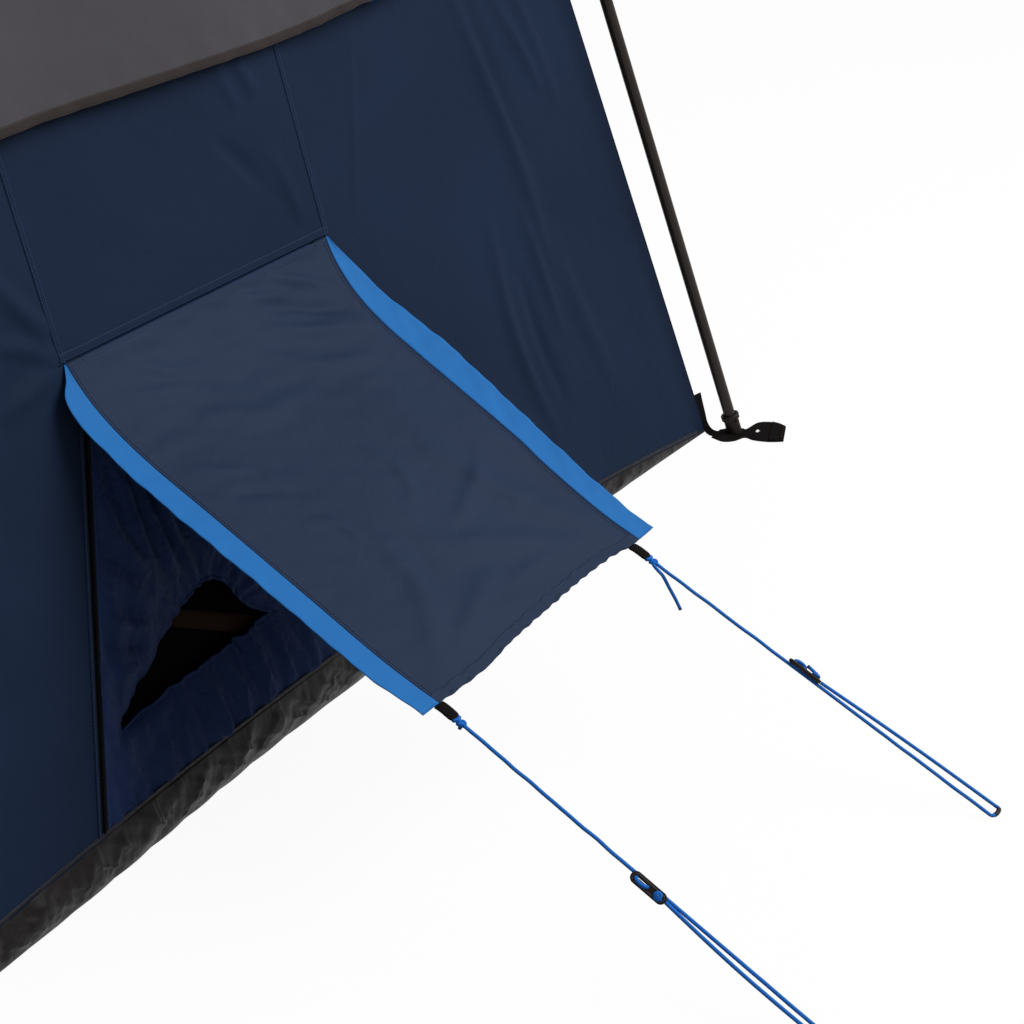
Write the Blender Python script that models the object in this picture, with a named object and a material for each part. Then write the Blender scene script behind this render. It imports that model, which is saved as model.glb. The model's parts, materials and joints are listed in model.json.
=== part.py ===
"""Cabin tent with leaning walls, a staked awning over a ground vent and an outside frame of steel tube.

All sizes are in metres, +Z is up and the origin is on the ground at the middle of the floor.
Front is -Y (the door wall), right is +X (the wall with the awning).
"""
import collections
import math

import bmesh
import bpy
import numpy as np
from mathutils import Vector

# Tent body
WIDTH = 3.05                 # floor, left to right
DEPTH = 2.44                 # floor, front to rear
EAVE_Z = 1.40                # top of the walls
CEILING_RISE = 0.39          # peak of the ceiling above the eave
SIDE_LEAN = 0.265            # inward run of the left and right walls for each metre of height
END_LEAN = 0.15              # the same for the front and rear walls
FABRIC_T = 0.0015            # cloth with its hems and seams
SEAM_GAP = 0.0003            # between neighbouring pieces

# Tub floor
TUB_HEIGHT = 0.083           # at the middle of a wall, running out to nothing at the corners
TUB_TUCK = 0.035             # how far the ground line is drawn in at the middle of a wall
TUB_LIP = 0.005              # height that is left at the corners
TUB_BULGE = 0.25             # outward swell of the tub cloth between ground and seam, as a share of the tuck
TUB_STEPS = 16

# Vent in the right wall
SEAM_Z = 0.649               # seam that the awning hangs from
SEAM_HALF = 0.290            # half length of that seam
VENT_TOP_INSET = 0.0364      # each zip's upper end inside the seam's end
VENT_TOP_HALF = SEAM_HALF - VENT_TOP_INSET
VENT_SPREAD = 0.3765         # outward run of each zip for each metre down
VENT_OPEN_DEPTH = 0.020      # how far the slack panel hangs in at its opening
VENT_FOLDS = 11
VENT_FOLD_DEPTH = 0.005
VENT_RINGS = 6
VENT_SPOKES = 44
VENT_SAG_POWER = 2.5         # how late the panel drops toward the opening
VENT_FOLD_REACH = 0.8        # share of the way to the opening over which the folds rise and fade
VENT_EYE = (-0.150, 0.215)   # point inside the opening, as distance along the wall and height
VENT_OPENING = ((-0.363, 0.177), (-0.296, 0.223), (-0.178, 0.276), (-0.128, 0.281), (-0.100, 0.262),
                (-0.072, 0.215), (-0.029, 0.186), (-0.156, 0.178))
MESH_SLACK = 0.040           # how far the netting hangs in behind the vent panel
MESH_RAMP = 0.05             # width of the edge over which it does so
MESH_STEPS = 11
ZIP_WIDTH = 0.010
SLIDER_LENGTH = 0.016
SLIDER_WIDTH = 0.009
SLIDER_T = 0.0045
SLIDER_NOSE = 0.4            # share of the width taken off at the nose
VENT_SLIDER_Z = 0.600        # height of the slider with the zip open

# Awning
AWNING_SLOPE = math.radians(33.56)
AWNING_LENGTH = 0.66
AWNING_INSET = 0.003         # its cloth inside the seam's end
AWNING_ROOT_HALF = SEAM_HALF - AWNING_INSET
AWNING_NARROWING = 0.025     # from the seam to the front hem, at each side
AWNING_FRONT_HALF = AWNING_ROOT_HALF - AWNING_NARROWING
AWNING_COLUMNS = 7
AWNING_SAG = 0.036
AWNING_SAG_AT = 0.17         # distance from the seam to the deepest point
AWNING_OFF = 0.0010          # hinge line in front of the wall
AWNING_START = 0.0008        # cloth begins this far from the hinge line
AWNING_EDGE = 0.0002         # front hem stops this far short of the line that the tabs fold on
AWNING_STEPS = 14
STRIP_WIDTH = 0.040
STRIP_TILT = math.radians(7.0)
STRIP_TAPER_FRONT = 0.06     # length over which the front strip widens from its point
STRIP_TAPER_REAR = 0.12
HEM_WIDTH = 0.016            # folded front hem

# Guylines
Run = collections.namedtuple("Run", "sign, splay, tab_inset, plate_at, plate_roll, plate_aside, apart")
GUY_FRONT = Run(-1, math.radians(2.4), 0.004, 0.351, math.radians(43.5), 0.0041, 0.012)
GUY_REAR = Run(1, math.radians(1.1), 0.0151, 0.304, math.radians(35.9), 0.0, 0.024)
GUY_SLOPE = math.radians(26.6)
GUY_END_Z = 0.004
CORD_D = 0.0048
TAB_START = 0.0003           # tab begins this far past that line
TAB_LENGTH = 0.030
TAB_WIDTH = 0.015
TAB_T = 0.0016
KNOT_R = 0.0065
TENSIONER_LENGTH = 0.0545
TENSIONER_WIDTH = 0.016
TENSIONER_T = 0.005
TENSIONER_SLOT = (0.014, 0.0050)
TENSIONER_HOLE_R = 0.0025
STRAND_BELLY = 0.004         # between the two strands halfway along, more than at their ends
TENSIONER_ROUND = 0.0012
TENSIONER_SLOT_AT = -0.22    # places along the plate, as shares of its length
TENSIONER_HOLE_AT = 0.27
TAIL_ALONG = 0.070           # loose end of the rear knot: along the guyline, down and to the front
TAIL_DROP = 0.0395
TAIL_ASIDE = 0.0060
TAIL_POWER = 1.5             # how slowly it begins to drop
TAIL_STATIONS = 9

# Frame
LEG_OUT_X = 0.051            # foot outside the wall's corner
LEG_OUT_Y = 0.025
LEG_LEAN_X = 0.252
LEG_LEAN_Y = 0.155
LEG_R = 0.011
LEG_WALL = 0.0012
LEG_SPLIT_Z = 1.00           # where the upper tube plugs into the lower one
LEG_SPIGOT = 0.08
FOOT_R = 0.0145
FOOT_HEIGHT = 0.035
FOOT_RING_R = 0.0175
FOOT_RING_HEIGHT = 0.006
FOOT_FLOOR = 0.004
ELBOW_R = 0.0135
ELBOW_BEND = 0.040
ELBOW_SPIGOT = 0.045
ELBOW_RISE = 0.035           # elbow above the walls' top edge
POLE_R = 0.008
POLE_WALL = 0.001
HUB_RISE = 0.46              # roof hub above the walls' top edge
HUB_Z = EAVE_Z + HUB_RISE
HUB_R = 0.040
HUB_LOW = 0.016
HUB_HIGH = 0.010
HUB_CONE = 0.030
HUB_TIP_R = 0.006
HUB_ARM = 0.070
HUB_ARM_R = 0.0105
HUB_SPIGOT = 0.040
TIE_WIDTH = 0.020
TIE_T = 0.002
TIE_LAP = 0.012              # how far a corner tie is sewn over the ceiling
TIE_LIFT = 0.0055            # its height above the walls' top edge where it is sewn on
TIE_END_LIFT = 0.0035        # and where it holds the elbow
TIE_SHORT = 0.0016           # taken off its end, because the elbow leans

# Stake loops, as offsets from a wall's corner on the ground
LOOP_T = 0.0015
LOOP_OUTLINE = ((0.0005, -0.006), (0.0495, -0.0345), (0.0856, 0.0068), (0.105, 0.002), (0.156, 0.0254),
                (0.148, 0.052), (0.116, 0.0743), (0.071, 0.050), (0.030, 0.052), (-0.012, 0.030),
                (-0.012, 0.0005), (0.0005, 0.0005))
LOOP_HOLE = ((0.084, 0.030), (0.112, 0.032), (0.108, 0.048), (0.086, 0.046))

# Rain fly
FLY_HEM_Z = 0.945
FLY_OFF_X = 0.0255           # fly in front of the side wall at the hem
FLY_OFF_Y = 0.022
FLY_EAVE_RISE = 0.055        # fly's eave above the wall's eave
FLY_LIP = 0.001              # roof edge past the hanging sides
FLY_BROW = 0.095             # depth of the front brow
GUSSET_WIDTH = 0.595
GUSSET_RISE = 0.05           # lowest point at the corner above where the leg passes behind the fly
GUSSET_STEPS = 8

# Door in the front wall
DOOR_HALF = 0.31
DOOR_TOP_Z = 1.28
DOOR_CLEAR = 0.0005
DOOR_HINGE_CLEAR = 0.002

# Window in the rear wall
WINDOW_HALF = 0.50
WINDOW_LOW_Z = 0.75
WINDOW_HIGH_Z = 1.20
WINDOW_FLAP_LAP = 0.03
WINDOW_FLAP_CLEAR = 0.002
NETTING_T = 0.0010

TUBE_SIDES = 16

HALF_W = WIDTH / 2
HALF_D = DEPTH / 2
HALF_GAP = SEAM_GAP / 2
CORNERS = {"front_left": (-1, -1), "front_right": (1, -1), "rear_left": (-1, 1), "rear_right": (1, 1)}


def wall_x(z):
    """Outer face of the right wall at height z."""
    return HALF_W - SIDE_LEAN * z


def wall_y(z):
    """Outer face of the rear wall at height z."""
    return HALF_D - END_LEAN * z


def tub_top(u, half):
    """Height of the tub's seam at u along a wall of the given half length."""
    return TUB_LIP + (TUB_HEIGHT - TUB_LIP) * (1 - (u / half) ** 2)


def tub_tuck(u, half):
    """How far the ground line is drawn in at u."""
    return TUB_TUCK * (1 - (u / half) ** 2)


def vent_half(z):
    """Half width between the two zips at height z."""
    return VENT_TOP_HALF + VENT_SPREAD * (SEAM_Z - z)


def awning_half(t):
    """Half width of the awning's navy sheet at t from the hinge line."""
    return AWNING_ROOT_HALF + (AWNING_FRONT_HALF - AWNING_ROOT_HALF) * t / AWNING_LENGTH


def awning_sag(t):
    """Sag below the straight line from the seam to the front hem, deepest near the seam."""
    def swell(a):
        return a * math.exp(1 - a)
    far = AWNING_LENGTH / AWNING_SAG_AT
    return AWNING_SAG * (swell(t / AWNING_SAG_AT) - t / AWNING_LENGTH * swell(far))


FLY_X = wall_x(FLY_HEM_Z) + FLY_OFF_X
FLY_Y = wall_y(FLY_HEM_Z) + FLY_OFF_Y
FLY_EAVE_Z = EAVE_Z + FLY_EAVE_RISE
FLY_TOP_Z = FLY_EAVE_Z - FABRIC_T - HALF_GAP
HUB_TOP_Z = HUB_Z + HUB_HIGH + HUB_CONE
FLY_SLOPE_DROP = HUB_TIP_R * (HUB_TOP_Z - FLY_EAVE_Z) / min(FLY_X, FLY_Y) * 1.1
FLY_APEX_Z = HUB_TOP_Z + SEAM_GAP + FLY_SLOPE_DROP + FABRIC_T
LEG_DIR = {name: Vector((-sx * LEG_LEAN_X, -sy * LEG_LEAN_Y, 1)).normalized()
           for name, (sx, sy) in CORNERS.items()}
LEG_FOOT = {name: Vector((sx * (HALF_W + LEG_OUT_X), sy * (HALF_D + LEG_OUT_Y), 0))
            for name, (sx, sy) in CORNERS.items()}
LEG_BEHIND_Z = max((HALF_W + LEG_OUT_X + LEG_R - FLY_X) / LEG_LEAN_X,
                   (HALF_D + LEG_OUT_Y + LEG_R - FLY_Y) / LEG_LEAN_Y)
GUSSET_CORNER_Z = LEG_BEHIND_Z + GUSSET_RISE
AWNING_HINGE = Vector((wall_x(SEAM_Z) + AWNING_OFF, 0, SEAM_Z))
AWNING_OUT = Vector((math.cos(AWNING_SLOPE), 0, -math.sin(AWNING_SLOPE)))
AWNING_UP = Vector((math.sin(AWNING_SLOPE), 0, math.cos(AWNING_SLOPE)))


def leg_point(corner, z):
    """Point on a leg's centre line at height z."""
    return LEG_FOOT[corner] + LEG_DIR[corner] * (z / LEG_DIR[corner].z)


def right_wall(u, z, depth):
    """World point on the right wall, at u along it, height z, depth metres inward."""
    return (wall_x(z) - depth, u, z)


def left_wall(u, z, depth):
    """World point on the left wall."""
    return (depth - wall_x(z), u, z)


def rear_wall(u, z, depth):
    """World point on the rear wall."""
    return (u, wall_y(z) - depth, z)


def front_wall(u, z, depth):
    """World point on the front wall."""
    return (u, depth - wall_y(z), z)


def linear(hex_colour):
    """Linear colour from an sRGB hex string."""
    values = [int(hex_colour[i:i + 2], 16) / 255 for i in (0, 2, 4)]
    return [v / 12.92 if v <= 0.04045 else ((v + 0.055) / 1.055) ** 2.4 for v in values] + [1.0]


def finish(name, hex_colour, roughness, metallic=0.0):
    """A plain material."""
    material = bpy.data.materials.new(name)
    material.use_nodes = True
    shader = material.node_tree.nodes["Principled BSDF"]
    shader.inputs["Base Color"].default_value = linear(hex_colour)
    shader.inputs["Roughness"].default_value = roughness
    shader.inputs["Metallic"].default_value = metallic
    material.diffuse_color = linear(hex_colour)
    return material


def pivot(name, position):
    """An empty on a joint's axis, which its moving pieces are parented to."""
    empty = bpy.data.objects.new(name, None)
    empty.location = position
    empty.empty_display_size = 0.05
    bpy.context.collection.objects.link(empty)
    return empty


def seat(obj, parent):
    """Parent an object whose data is already measured from the parent's place."""
    bpy.context.collection.objects.link(obj)
    if parent is not None:
        obj.parent = parent
    return obj


def solid(name, verts, faces, material, parent=None):
    """One object from world points and faces, turned outward."""
    origin = parent.location if parent is not None else Vector((0, 0, 0))
    mesh = bpy.data.meshes.new(name)
    mesh.from_pydata([tuple(Vector(v) - origin) for v in verts], [], faces)
    shell = bmesh.new()
    shell.from_mesh(mesh)
    bmesh.ops.recalc_face_normals(shell, faces=shell.faces)
    shell.to_mesh(mesh)
    shell.free()
    mesh.materials.append(material)
    return seat(bpy.data.objects.new(name, mesh), parent)


def smooth(obj, angle=35.0):
    """Smooth shading with sharp edges kept."""
    obj.data.shade_smooth()
    obj.data.set_sharp_from_angle(angle=math.radians(angle))
    return obj


def join_parts(parts):
    """Vertex and face lists of several bodies as one pair of lists."""
    verts = []
    faces = []
    for part_verts, part_faces in parts:
        base = len(verts)
        verts.extend(part_verts)
        faces.extend([tuple(i + base for i in face) for face in part_faces])
    return verts, faces


def inset(outline, distance):
    """Outline with each edge moved inward; the outline runs anticlockwise or clockwise."""
    points = [np.array(p, dtype=float) for p in outline]
    count = len(points)
    area = sum(points[i][0] * points[(i + 1) % count][1] - points[(i + 1) % count][0] * points[i][1]
               for i in range(count))
    turn = 1.0 if area > 0 else -1.0
    moved = []
    for i in range(count):
        before = points[i] - points[i - 1]
        after = points[(i + 1) % count] - points[i]
        before = before / np.linalg.norm(before)
        after = after / np.linalg.norm(after)
        normal_a = turn * np.array((-before[1], before[0]))
        normal_b = turn * np.array((-after[1], after[0]))
        shift = (normal_a + normal_b) / (1 + normal_a @ normal_b)
        moved.append(tuple(points[i] + shift * distance))
    return moved


def slab(outline, place, outer, inner):
    """Body between two depths behind an outline, as vertex and face lists."""
    count = len(outline)
    verts = [place(u, z, outer) for u, z in outline] + [place(u, z, inner) for u, z in outline]
    faces = [tuple(range(count)), tuple(range(2 * count - 1, count - 1, -1))]
    faces += [(i, i + count, (i + 1) % count + count, (i + 1) % count) for i in range(count)]
    return verts, faces


def panel(outline, place, outer=0.0, thickness=FABRIC_T):
    """Cloth panel with half a seam's gap taken off all round."""
    return slab(inset(outline, HALF_GAP), place, outer, outer + thickness)


def sheet(rows, columns, top, bottom):
    """Closed body between two surfaces given as functions of row and column numbers."""
    verts = [top(i, j) for i in range(rows) for j in range(columns)]
    verts += [bottom(i, j) for i in range(rows) for j in range(columns)]
    size = rows * columns
    faces = []
    for i in range(rows - 1):
        for j in range(columns - 1):
            a = i * columns + j
            faces.append((a, a + 1, a + columns + 1, a + columns))
            faces.append((a + size, a + size + columns, a + size + columns + 1, a + size + 1))
    rim = [(0, j) for j in range(columns)] + [(i, columns - 1) for i in range(1, rows)]
    rim += [(rows - 1, j) for j in range(columns - 2, -1, -1)] + [(i, 0) for i in range(rows - 2, 0, -1)]
    rim = [i * columns + j for i, j in rim]
    for k, a in enumerate(rim):
        b = rim[(k + 1) % len(rim)]
        faces.append((a, a + size, b + size, b))
    return verts, faces


def across(axis):
    """Two unit vectors square to an axis and to each other."""
    helper = Vector((0, 0, 1)) if abs(axis.z) < 0.9 else Vector((1, 0, 0))
    first = axis.cross(helper).normalized()
    return first, axis.cross(first).normalized()


def turned(profile, base, axis, sides=TUBE_SIDES):
    """Body of revolution from points of distance along the axis and radius.

    A profile that starts and ends at radius zero is solid; any other is closed on itself and hollow.
    """
    first, second = across(axis)
    verts = []
    rings = []
    for along, radius in profile:
        centre = base + axis * along
        steps = sides if radius > 0 else 1
        rings.append(list(range(len(verts), len(verts) + steps)))
        for k in range(steps):
            angle = 2 * math.pi * k / sides
            verts.append(centre + (first * math.cos(angle) + second * math.sin(angle)) * radius)
    pairs = list(zip(rings, rings[1:]))
    if profile[0][1] > 0:
        pairs.append((rings[-1], rings[0]))
    faces = []
    for low, high in pairs:
        for k in range(sides):
            k2 = (k + 1) % sides
            if len(low) == 1:
                faces.append((low[0], high[k], high[k2]))
            elif len(high) == 1:
                faces.append((low[k], low[k2], high[0]))
            else:
                faces.append((low[k], low[k2], high[k2], high[k]))
    return verts, faces


def bent_rod(stations, plane_normal, sides=TUBE_SIDES):
    """Solid rod through stations of point, direction and radius, all in one plane."""
    verts = []
    for point, direction, radius in stations:
        side = direction.cross(plane_normal).normalized()
        for k in range(sides):
            angle = 2 * math.pi * k / sides
            verts.append(point + (plane_normal * math.cos(angle) + side * math.sin(angle)) * radius)
    faces = [tuple(range(sides))]
    for i in range(len(stations) - 1):
        for k in range(sides):
            k2 = (k + 1) % sides
            faces.append((i * sides + k, i * sides + k2, (i + 1) * sides + k2, (i + 1) * sides + k))
    last = (len(stations) - 1) * sides
    faces.append(tuple(range(last + sides - 1, last - 1, -1)))
    return verts, faces


def block(centre, axes, half):
    """Box round a centre with three axes and three half sizes."""
    verts = []
    for i in (-1, 1):
        for j in (-1, 1):
            for k in (-1, 1):
                verts.append(centre + axes[0] * (i * half[0]) + axes[1] * (j * half[1])
                             + axes[2] * (k * half[2]))
    faces = [(0, 1, 3, 2), (4, 6, 7, 5), (0, 4, 5, 1), (2, 3, 7, 6), (0, 2, 6, 4), (1, 5, 7, 3)]
    return verts, faces


def cut(obj, name, verts, faces):
    """Cut a body out of an object with a hidden cutter."""
    tool = solid(name, verts, faces, obj.data.materials[0], obj.parent)
    tool.hide_render = True
    tool.display_type = "WIRE"
    modifier = obj.modifiers.new(name, "BOOLEAN")
    modifier.operation = "DIFFERENCE"
    modifier.solver = "EXACT"
    modifier.object = tool


def unite(obj, name, verts, faces):
    """Add a body to an object with a hidden tool, as one solid."""
    tool = solid(name, verts, faces, obj.data.materials[0], obj.parent)
    tool.hide_render = True
    tool.display_type = "WIRE"
    modifier = obj.modifiers.new(name, "BOOLEAN")
    modifier.operation = "UNION"
    modifier.solver = "EXACT"
    modifier.object = tool


def cord(name, points, material, parent):
    """Round cord along world points."""
    curve = bpy.data.curves.new(name, "CURVE")
    curve.dimensions = "3D"
    curve.bevel_depth = CORD_D / 2
    curve.bevel_resolution = 2
    curve.use_fill_caps = True
    spline = curve.splines.new("POLY")
    spline.points.add(len(points) - 1)
    for spline_point, place in zip(spline.points, points):
        spline_point.co = (*(place - parent.location), 1)
    curve.materials.append(material)
    return seat(bpy.data.objects.new(name, curve), parent)


def steps(start, end, count):
    """Evenly spaced values from start to end."""
    return [start + (end - start) * i / (count - 1) for i in range(count)]


def clear_scene():
    """Remove what the file opened with."""
    for obj in list(bpy.data.objects):
        bpy.data.objects.remove(obj, do_unlink=True)


# Frame of steel tube
def build_leg(corner, steel, plastic):
    """Foot, lower tube, upper tube, elbow and roof pole of one corner."""
    axis = LEG_DIR[corner]
    foot = LEG_FOOT[corner]
    length_at = 1 / axis.z
    bore = LEG_R - LEG_WALL
    low = LOOP_T + SEAM_GAP
    base = foot + axis * (low * length_at)
    cup = LEG_R + SEAM_GAP
    profile = [(0, 0), (0, FOOT_R), (FOOT_HEIGHT - FOOT_RING_HEIGHT, FOOT_R),
               (FOOT_HEIGHT - FOOT_RING_HEIGHT, FOOT_RING_R), (FOOT_HEIGHT, FOOT_RING_R),
               (FOOT_HEIGHT, cup), (FOOT_FLOOR + FOOT_R * LEG_LEAN_X, cup),
               (FOOT_FLOOR + FOOT_R * LEG_LEAN_X, 0)]
    verts, faces = turned(profile, base, axis)
    ground_ring = range(1, 1 + TUBE_SIDES)
    for index in ground_ring:
        verts[index] = verts[index] + axis * ((low - verts[index].z) * length_at)
    smooth(solid("leg_foot_" + corner, verts, faces, plastic))

    tube_low = FOOT_FLOOR + FOOT_R * LEG_LEAN_X + SEAM_GAP
    split = LEG_SPLIT_Z * length_at
    lower = [(tube_low, LEG_R), (split, LEG_R), (split, bore), (tube_low, bore)]
    smooth(solid("lower_leg_" + corner, *turned(lower, base, axis), steel))

    elbow_at = leg_point(corner, EAVE_Z + ELBOW_RISE)
    reach = (elbow_at - base).length - ELBOW_BEND
    spigot = bore - SEAM_GAP
    inner = spigot - LEG_WALL
    start = split + SEAM_GAP
    upper = [(start - LEG_SPIGOT, spigot), (start, spigot), (start, LEG_R), (reach, LEG_R), (reach, bore),
             (start + LEG_WALL, bore), (start + LEG_WALL, inner), (start - LEG_SPIGOT, inner)]
    smooth(solid("upper_leg_" + corner, *turned(upper, base, axis), steel))

    hub = Vector((0, 0, HUB_Z))
    rafter = (hub - elbow_at).normalized()
    normal = axis.cross(rafter).normalized()
    pole_bore = POLE_R - POLE_WALL
    stations = []
    for along, radius in ((-ELBOW_BEND - ELBOW_SPIGOT, spigot), (-ELBOW_BEND + SEAM_GAP, spigot),
                          (-ELBOW_BEND + SEAM_GAP, ELBOW_R)):
        stations.append((elbow_at + axis * along, axis, radius))
    for share in steps(0.15, 0.85, 5):
        point = (elbow_at - axis * ELBOW_BEND * (1 - share) ** 2) + rafter * ELBOW_BEND * share ** 2
        direction = (axis * (1 - share) + rafter * share).normalized()
        stations.append((point, direction, ELBOW_R))
    for along, radius in ((ELBOW_BEND - SEAM_GAP, ELBOW_R), (ELBOW_BEND - SEAM_GAP, pole_bore - SEAM_GAP),
                          (ELBOW_BEND + ELBOW_SPIGOT, pole_bore - SEAM_GAP)):
        stations.append((elbow_at + rafter * along, rafter, radius))
    smooth(solid("corner_elbow_" + corner, *bent_rod(stations, normal), plastic))

    span = (hub - elbow_at).length
    ends = (ELBOW_BEND, span - HUB_ARM - SEAM_GAP)
    pole = [(ends[0], POLE_R), (ends[1], POLE_R), (ends[1], pole_bore), (ends[0], pole_bore)]
    smooth(solid("roof_pole_" + corner, *turned(pole, elbow_at, rafter), steel))
    return rafter


def build_hub(rafters, plastic):
    """Centre hub with a spigot for each roof pole."""
    hub = Vector((0, 0, HUB_Z))
    profile = [(-HUB_LOW, 0), (-HUB_LOW, HUB_R), (HUB_HIGH, HUB_R), (HUB_HIGH + HUB_CONE, HUB_TIP_R),
               (HUB_HIGH + HUB_CONE, 0)]
    body = solid("roof_hub", *turned(profile, hub, Vector((0, 0, 1)), 24), plastic)
    for corner, rafter in rafters.items():
        arm = [(0, 0), (0, HUB_ARM_R), (HUB_ARM, HUB_ARM_R), (HUB_ARM, POLE_R - POLE_WALL - SEAM_GAP),
               (HUB_ARM + HUB_SPIGOT, POLE_R - POLE_WALL - SEAM_GAP), (HUB_ARM + HUB_SPIGOT, 0)]
        unite(body, "hub_arm_" + corner, *turned(arm, hub, -rafter, 12))


def tie_parts():
    """Webbing from the ceiling's corners to the elbows, and from its peak to the hub."""
    parts = []
    for corner, (sx, sy) in CORNERS.items():
        start = Vector((sx * (wall_x(EAVE_Z) - TIE_LAP), sy * (wall_y(EAVE_Z) - TIE_LAP), EAVE_Z + TIE_LIFT))
        run = leg_point(corner, EAVE_Z + TIE_END_LIFT) - start
        far = run.length - ELBOW_R / LEG_DIR[corner].z - TIE_SHORT - SEAM_GAP
        run.normalize()
        side, up = across(run)
        parts.append(block(start + run * (far / 2), (run, side, up), (far / 2, TIE_WIDTH / 4, TIE_T / 2)))
    low = EAVE_Z + CEILING_RISE
    high = HUB_Z - HUB_LOW - SEAM_GAP
    axes = (Vector((1, 0, 0)), Vector((0, 1, 0)), Vector((0, 0, 1)))
    parts.append(block(Vector((0, 0, (low + high) / 2)), axes, (TIE_WIDTH / 2, TIE_T / 2, (high - low) / 2)))
    return parts


# Floor, tub and stake loops
def ring_stations():
    """Stations round the floor: wall function, distance along it and half length."""
    stations = []
    for place, half, sign in ((right_wall, HALF_D, 1), (rear_wall, HALF_W, -1), (left_wall, HALF_D, -1),
                              (front_wall, HALF_W, 1)):
        for u in steps(-half * sign, half * sign, TUB_STEPS)[:-1]:
            stations.append((place, u, half))
    return stations


def tub_point(station, share, inward):
    """Point of the tub's skirt, share of the way up from the ground line to the seam."""
    place, u, half = station
    top = tub_top(u, half) - SEAM_GAP
    tuck = tub_tuck(u, half)
    depth = tuck * (1 - share) - TUB_BULGE * tuck * math.sin(math.pi * share) + inward
    lean = END_LEAN if half == HALF_D else SIDE_LEAN
    limit = half - lean * top * share - inward
    along = max(-limit, min(limit, u))
    return place(along, top * share, depth)


def build_floor(tub):
    """Flat floor sheet inside the drawn-in ground line."""
    edge = FABRIC_T * (1 + SIDE_LEAN) + SEAM_GAP
    outline = []
    for place, u, half in ring_stations():
        along = max(edge - half, min(half - edge, u))
        x, y, _ = place(along, 0, tub_tuck(u, half) + edge)
        outline.append((x, y))
    verts, faces = slab(outline, lambda x, y, depth: (x, y, depth), 0, FABRIC_T)
    solid("floor_sheet", verts, faces, tub)


def build_tub(tub):
    """Tub skirt all round, from the ground line up to the walls' seam."""
    stations = ring_stations()
    count = len(stations)
    layers = [(share, 0) for share in (0, 0.5, 1)] + [(share, FABRIC_T) for share in (1, 0.5, 0)]
    verts = [tub_point(station, share, inward) for share, inward in layers for station in stations]
    faces = []
    for layer in range(len(layers)):
        nxt = (layer + 1) % len(layers)
        for k in range(count):
            k2 = (k + 1) % count
            faces.append((layer * count + k, layer * count + k2, nxt * count + k2, nxt * count + k))
    solid("tub_skirt", verts, faces, tub)


def build_stake_loop(corner, webbing):
    """Webbing under a foot, with a hole for a stake outside it."""
    sx, sy = CORNERS[corner]

    def place(u, v, depth):
        return (sx * (HALF_W + u), sy * (HALF_D + v), depth)
    strap = solid("stake_loop_" + corner, *slab(LOOP_OUTLINE, place, 0, LOOP_T), webbing)
    cut(strap, "stake_hole_" + corner, *slab(LOOP_HOLE, place, -LOOP_T, 2 * LOOP_T))


# Walls
def corner_edge(half_at, z):
    """End of a wall that stops inside the neighbouring wall's cloth."""
    return half_at(z) - FABRIC_T - HALF_GAP


def build_right_wall(navy):
    """Side panels and upper panel round the vent and the awning's seam."""
    low = tub_top(vent_half(TUB_HEIGHT), HALF_D)
    foot = vent_half(low)
    for name, sign in (("right_wall_front_panel", -1), ("right_wall_rear_panel", 1)):
        lower = [(sign * u, tub_top(u, HALF_D)) for u in steps(foot, corner_edge(wall_y, TUB_LIP), TUB_STEPS)]
        outline = lower + [(sign * corner_edge(wall_y, EAVE_Z), EAVE_Z), (sign * SEAM_HALF, EAVE_Z),
                           (sign * SEAM_HALF, SEAM_Z), (sign * VENT_TOP_HALF, SEAM_Z)]
        solid(name, *panel(outline, right_wall), navy)
    upper = [(-SEAM_HALF, SEAM_Z), (SEAM_HALF, SEAM_Z), (SEAM_HALF, EAVE_Z), (-SEAM_HALF, EAVE_Z)]
    solid("right_wall_upper_panel", *panel(upper, right_wall), navy)


def build_left_wall(navy):
    """One plain panel."""
    end = corner_edge(wall_y, TUB_LIP)
    lower = [(u, tub_top(u, HALF_D)) for u in steps(-end, end, 2 * TUB_STEPS)]
    top = corner_edge(wall_y, EAVE_Z)
    solid("left_wall_panel", *panel(lower + [(top, EAVE_Z), (-top, EAVE_Z)], left_wall), navy)


def build_rear_wall(navy, netting, parent):
    """Wall with a window, its netting and the flap inside."""
    lower = [(u, tub_top(u, HALF_W)) for u in steps(-wall_x(TUB_LIP), wall_x(TUB_LIP), 2 * TUB_STEPS)]
    eave_end = wall_x(EAVE_Z)
    wall = solid("rear_wall", *panel(lower + [(eave_end, EAVE_Z), (-eave_end, EAVE_Z)], rear_wall), navy)
    window = [(-WINDOW_HALF, WINDOW_LOW_Z), (WINDOW_HALF, WINDOW_LOW_Z), (WINDOW_HALF, WINDOW_HIGH_Z),
              (-WINDOW_HALF, WINDOW_HIGH_Z)]
    cut(wall, "window_hole", *slab(window, rear_wall, -FABRIC_T, 2 * FABRIC_T))
    solid("rear_window_mesh", *slab(inset(window, SEAM_GAP), rear_wall, 0, NETTING_T), netting)
    half = WINDOW_HALF + WINDOW_FLAP_LAP
    flap_low = WINDOW_LOW_Z - WINDOW_FLAP_LAP + WINDOW_FLAP_CLEAR
    flap_high = WINDOW_HIGH_Z + WINDOW_FLAP_LAP
    flap = [(-half, flap_low), (half, flap_low), (half, flap_high), (-half, flap_high)]
    behind = FABRIC_T + 2 * SEAM_GAP
    solid("rear_window_flap", *slab(flap, rear_wall, behind, behind + FABRIC_T), navy, parent)


def slope_step(place, u_run, z):
    """Unit vector along a wall for a run of u_run sideways for each metre down."""
    here = Vector(place(0, z, 0))
    there = Vector(place(u_run, z - 1, 0))
    return (there - here).normalized()


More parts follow.
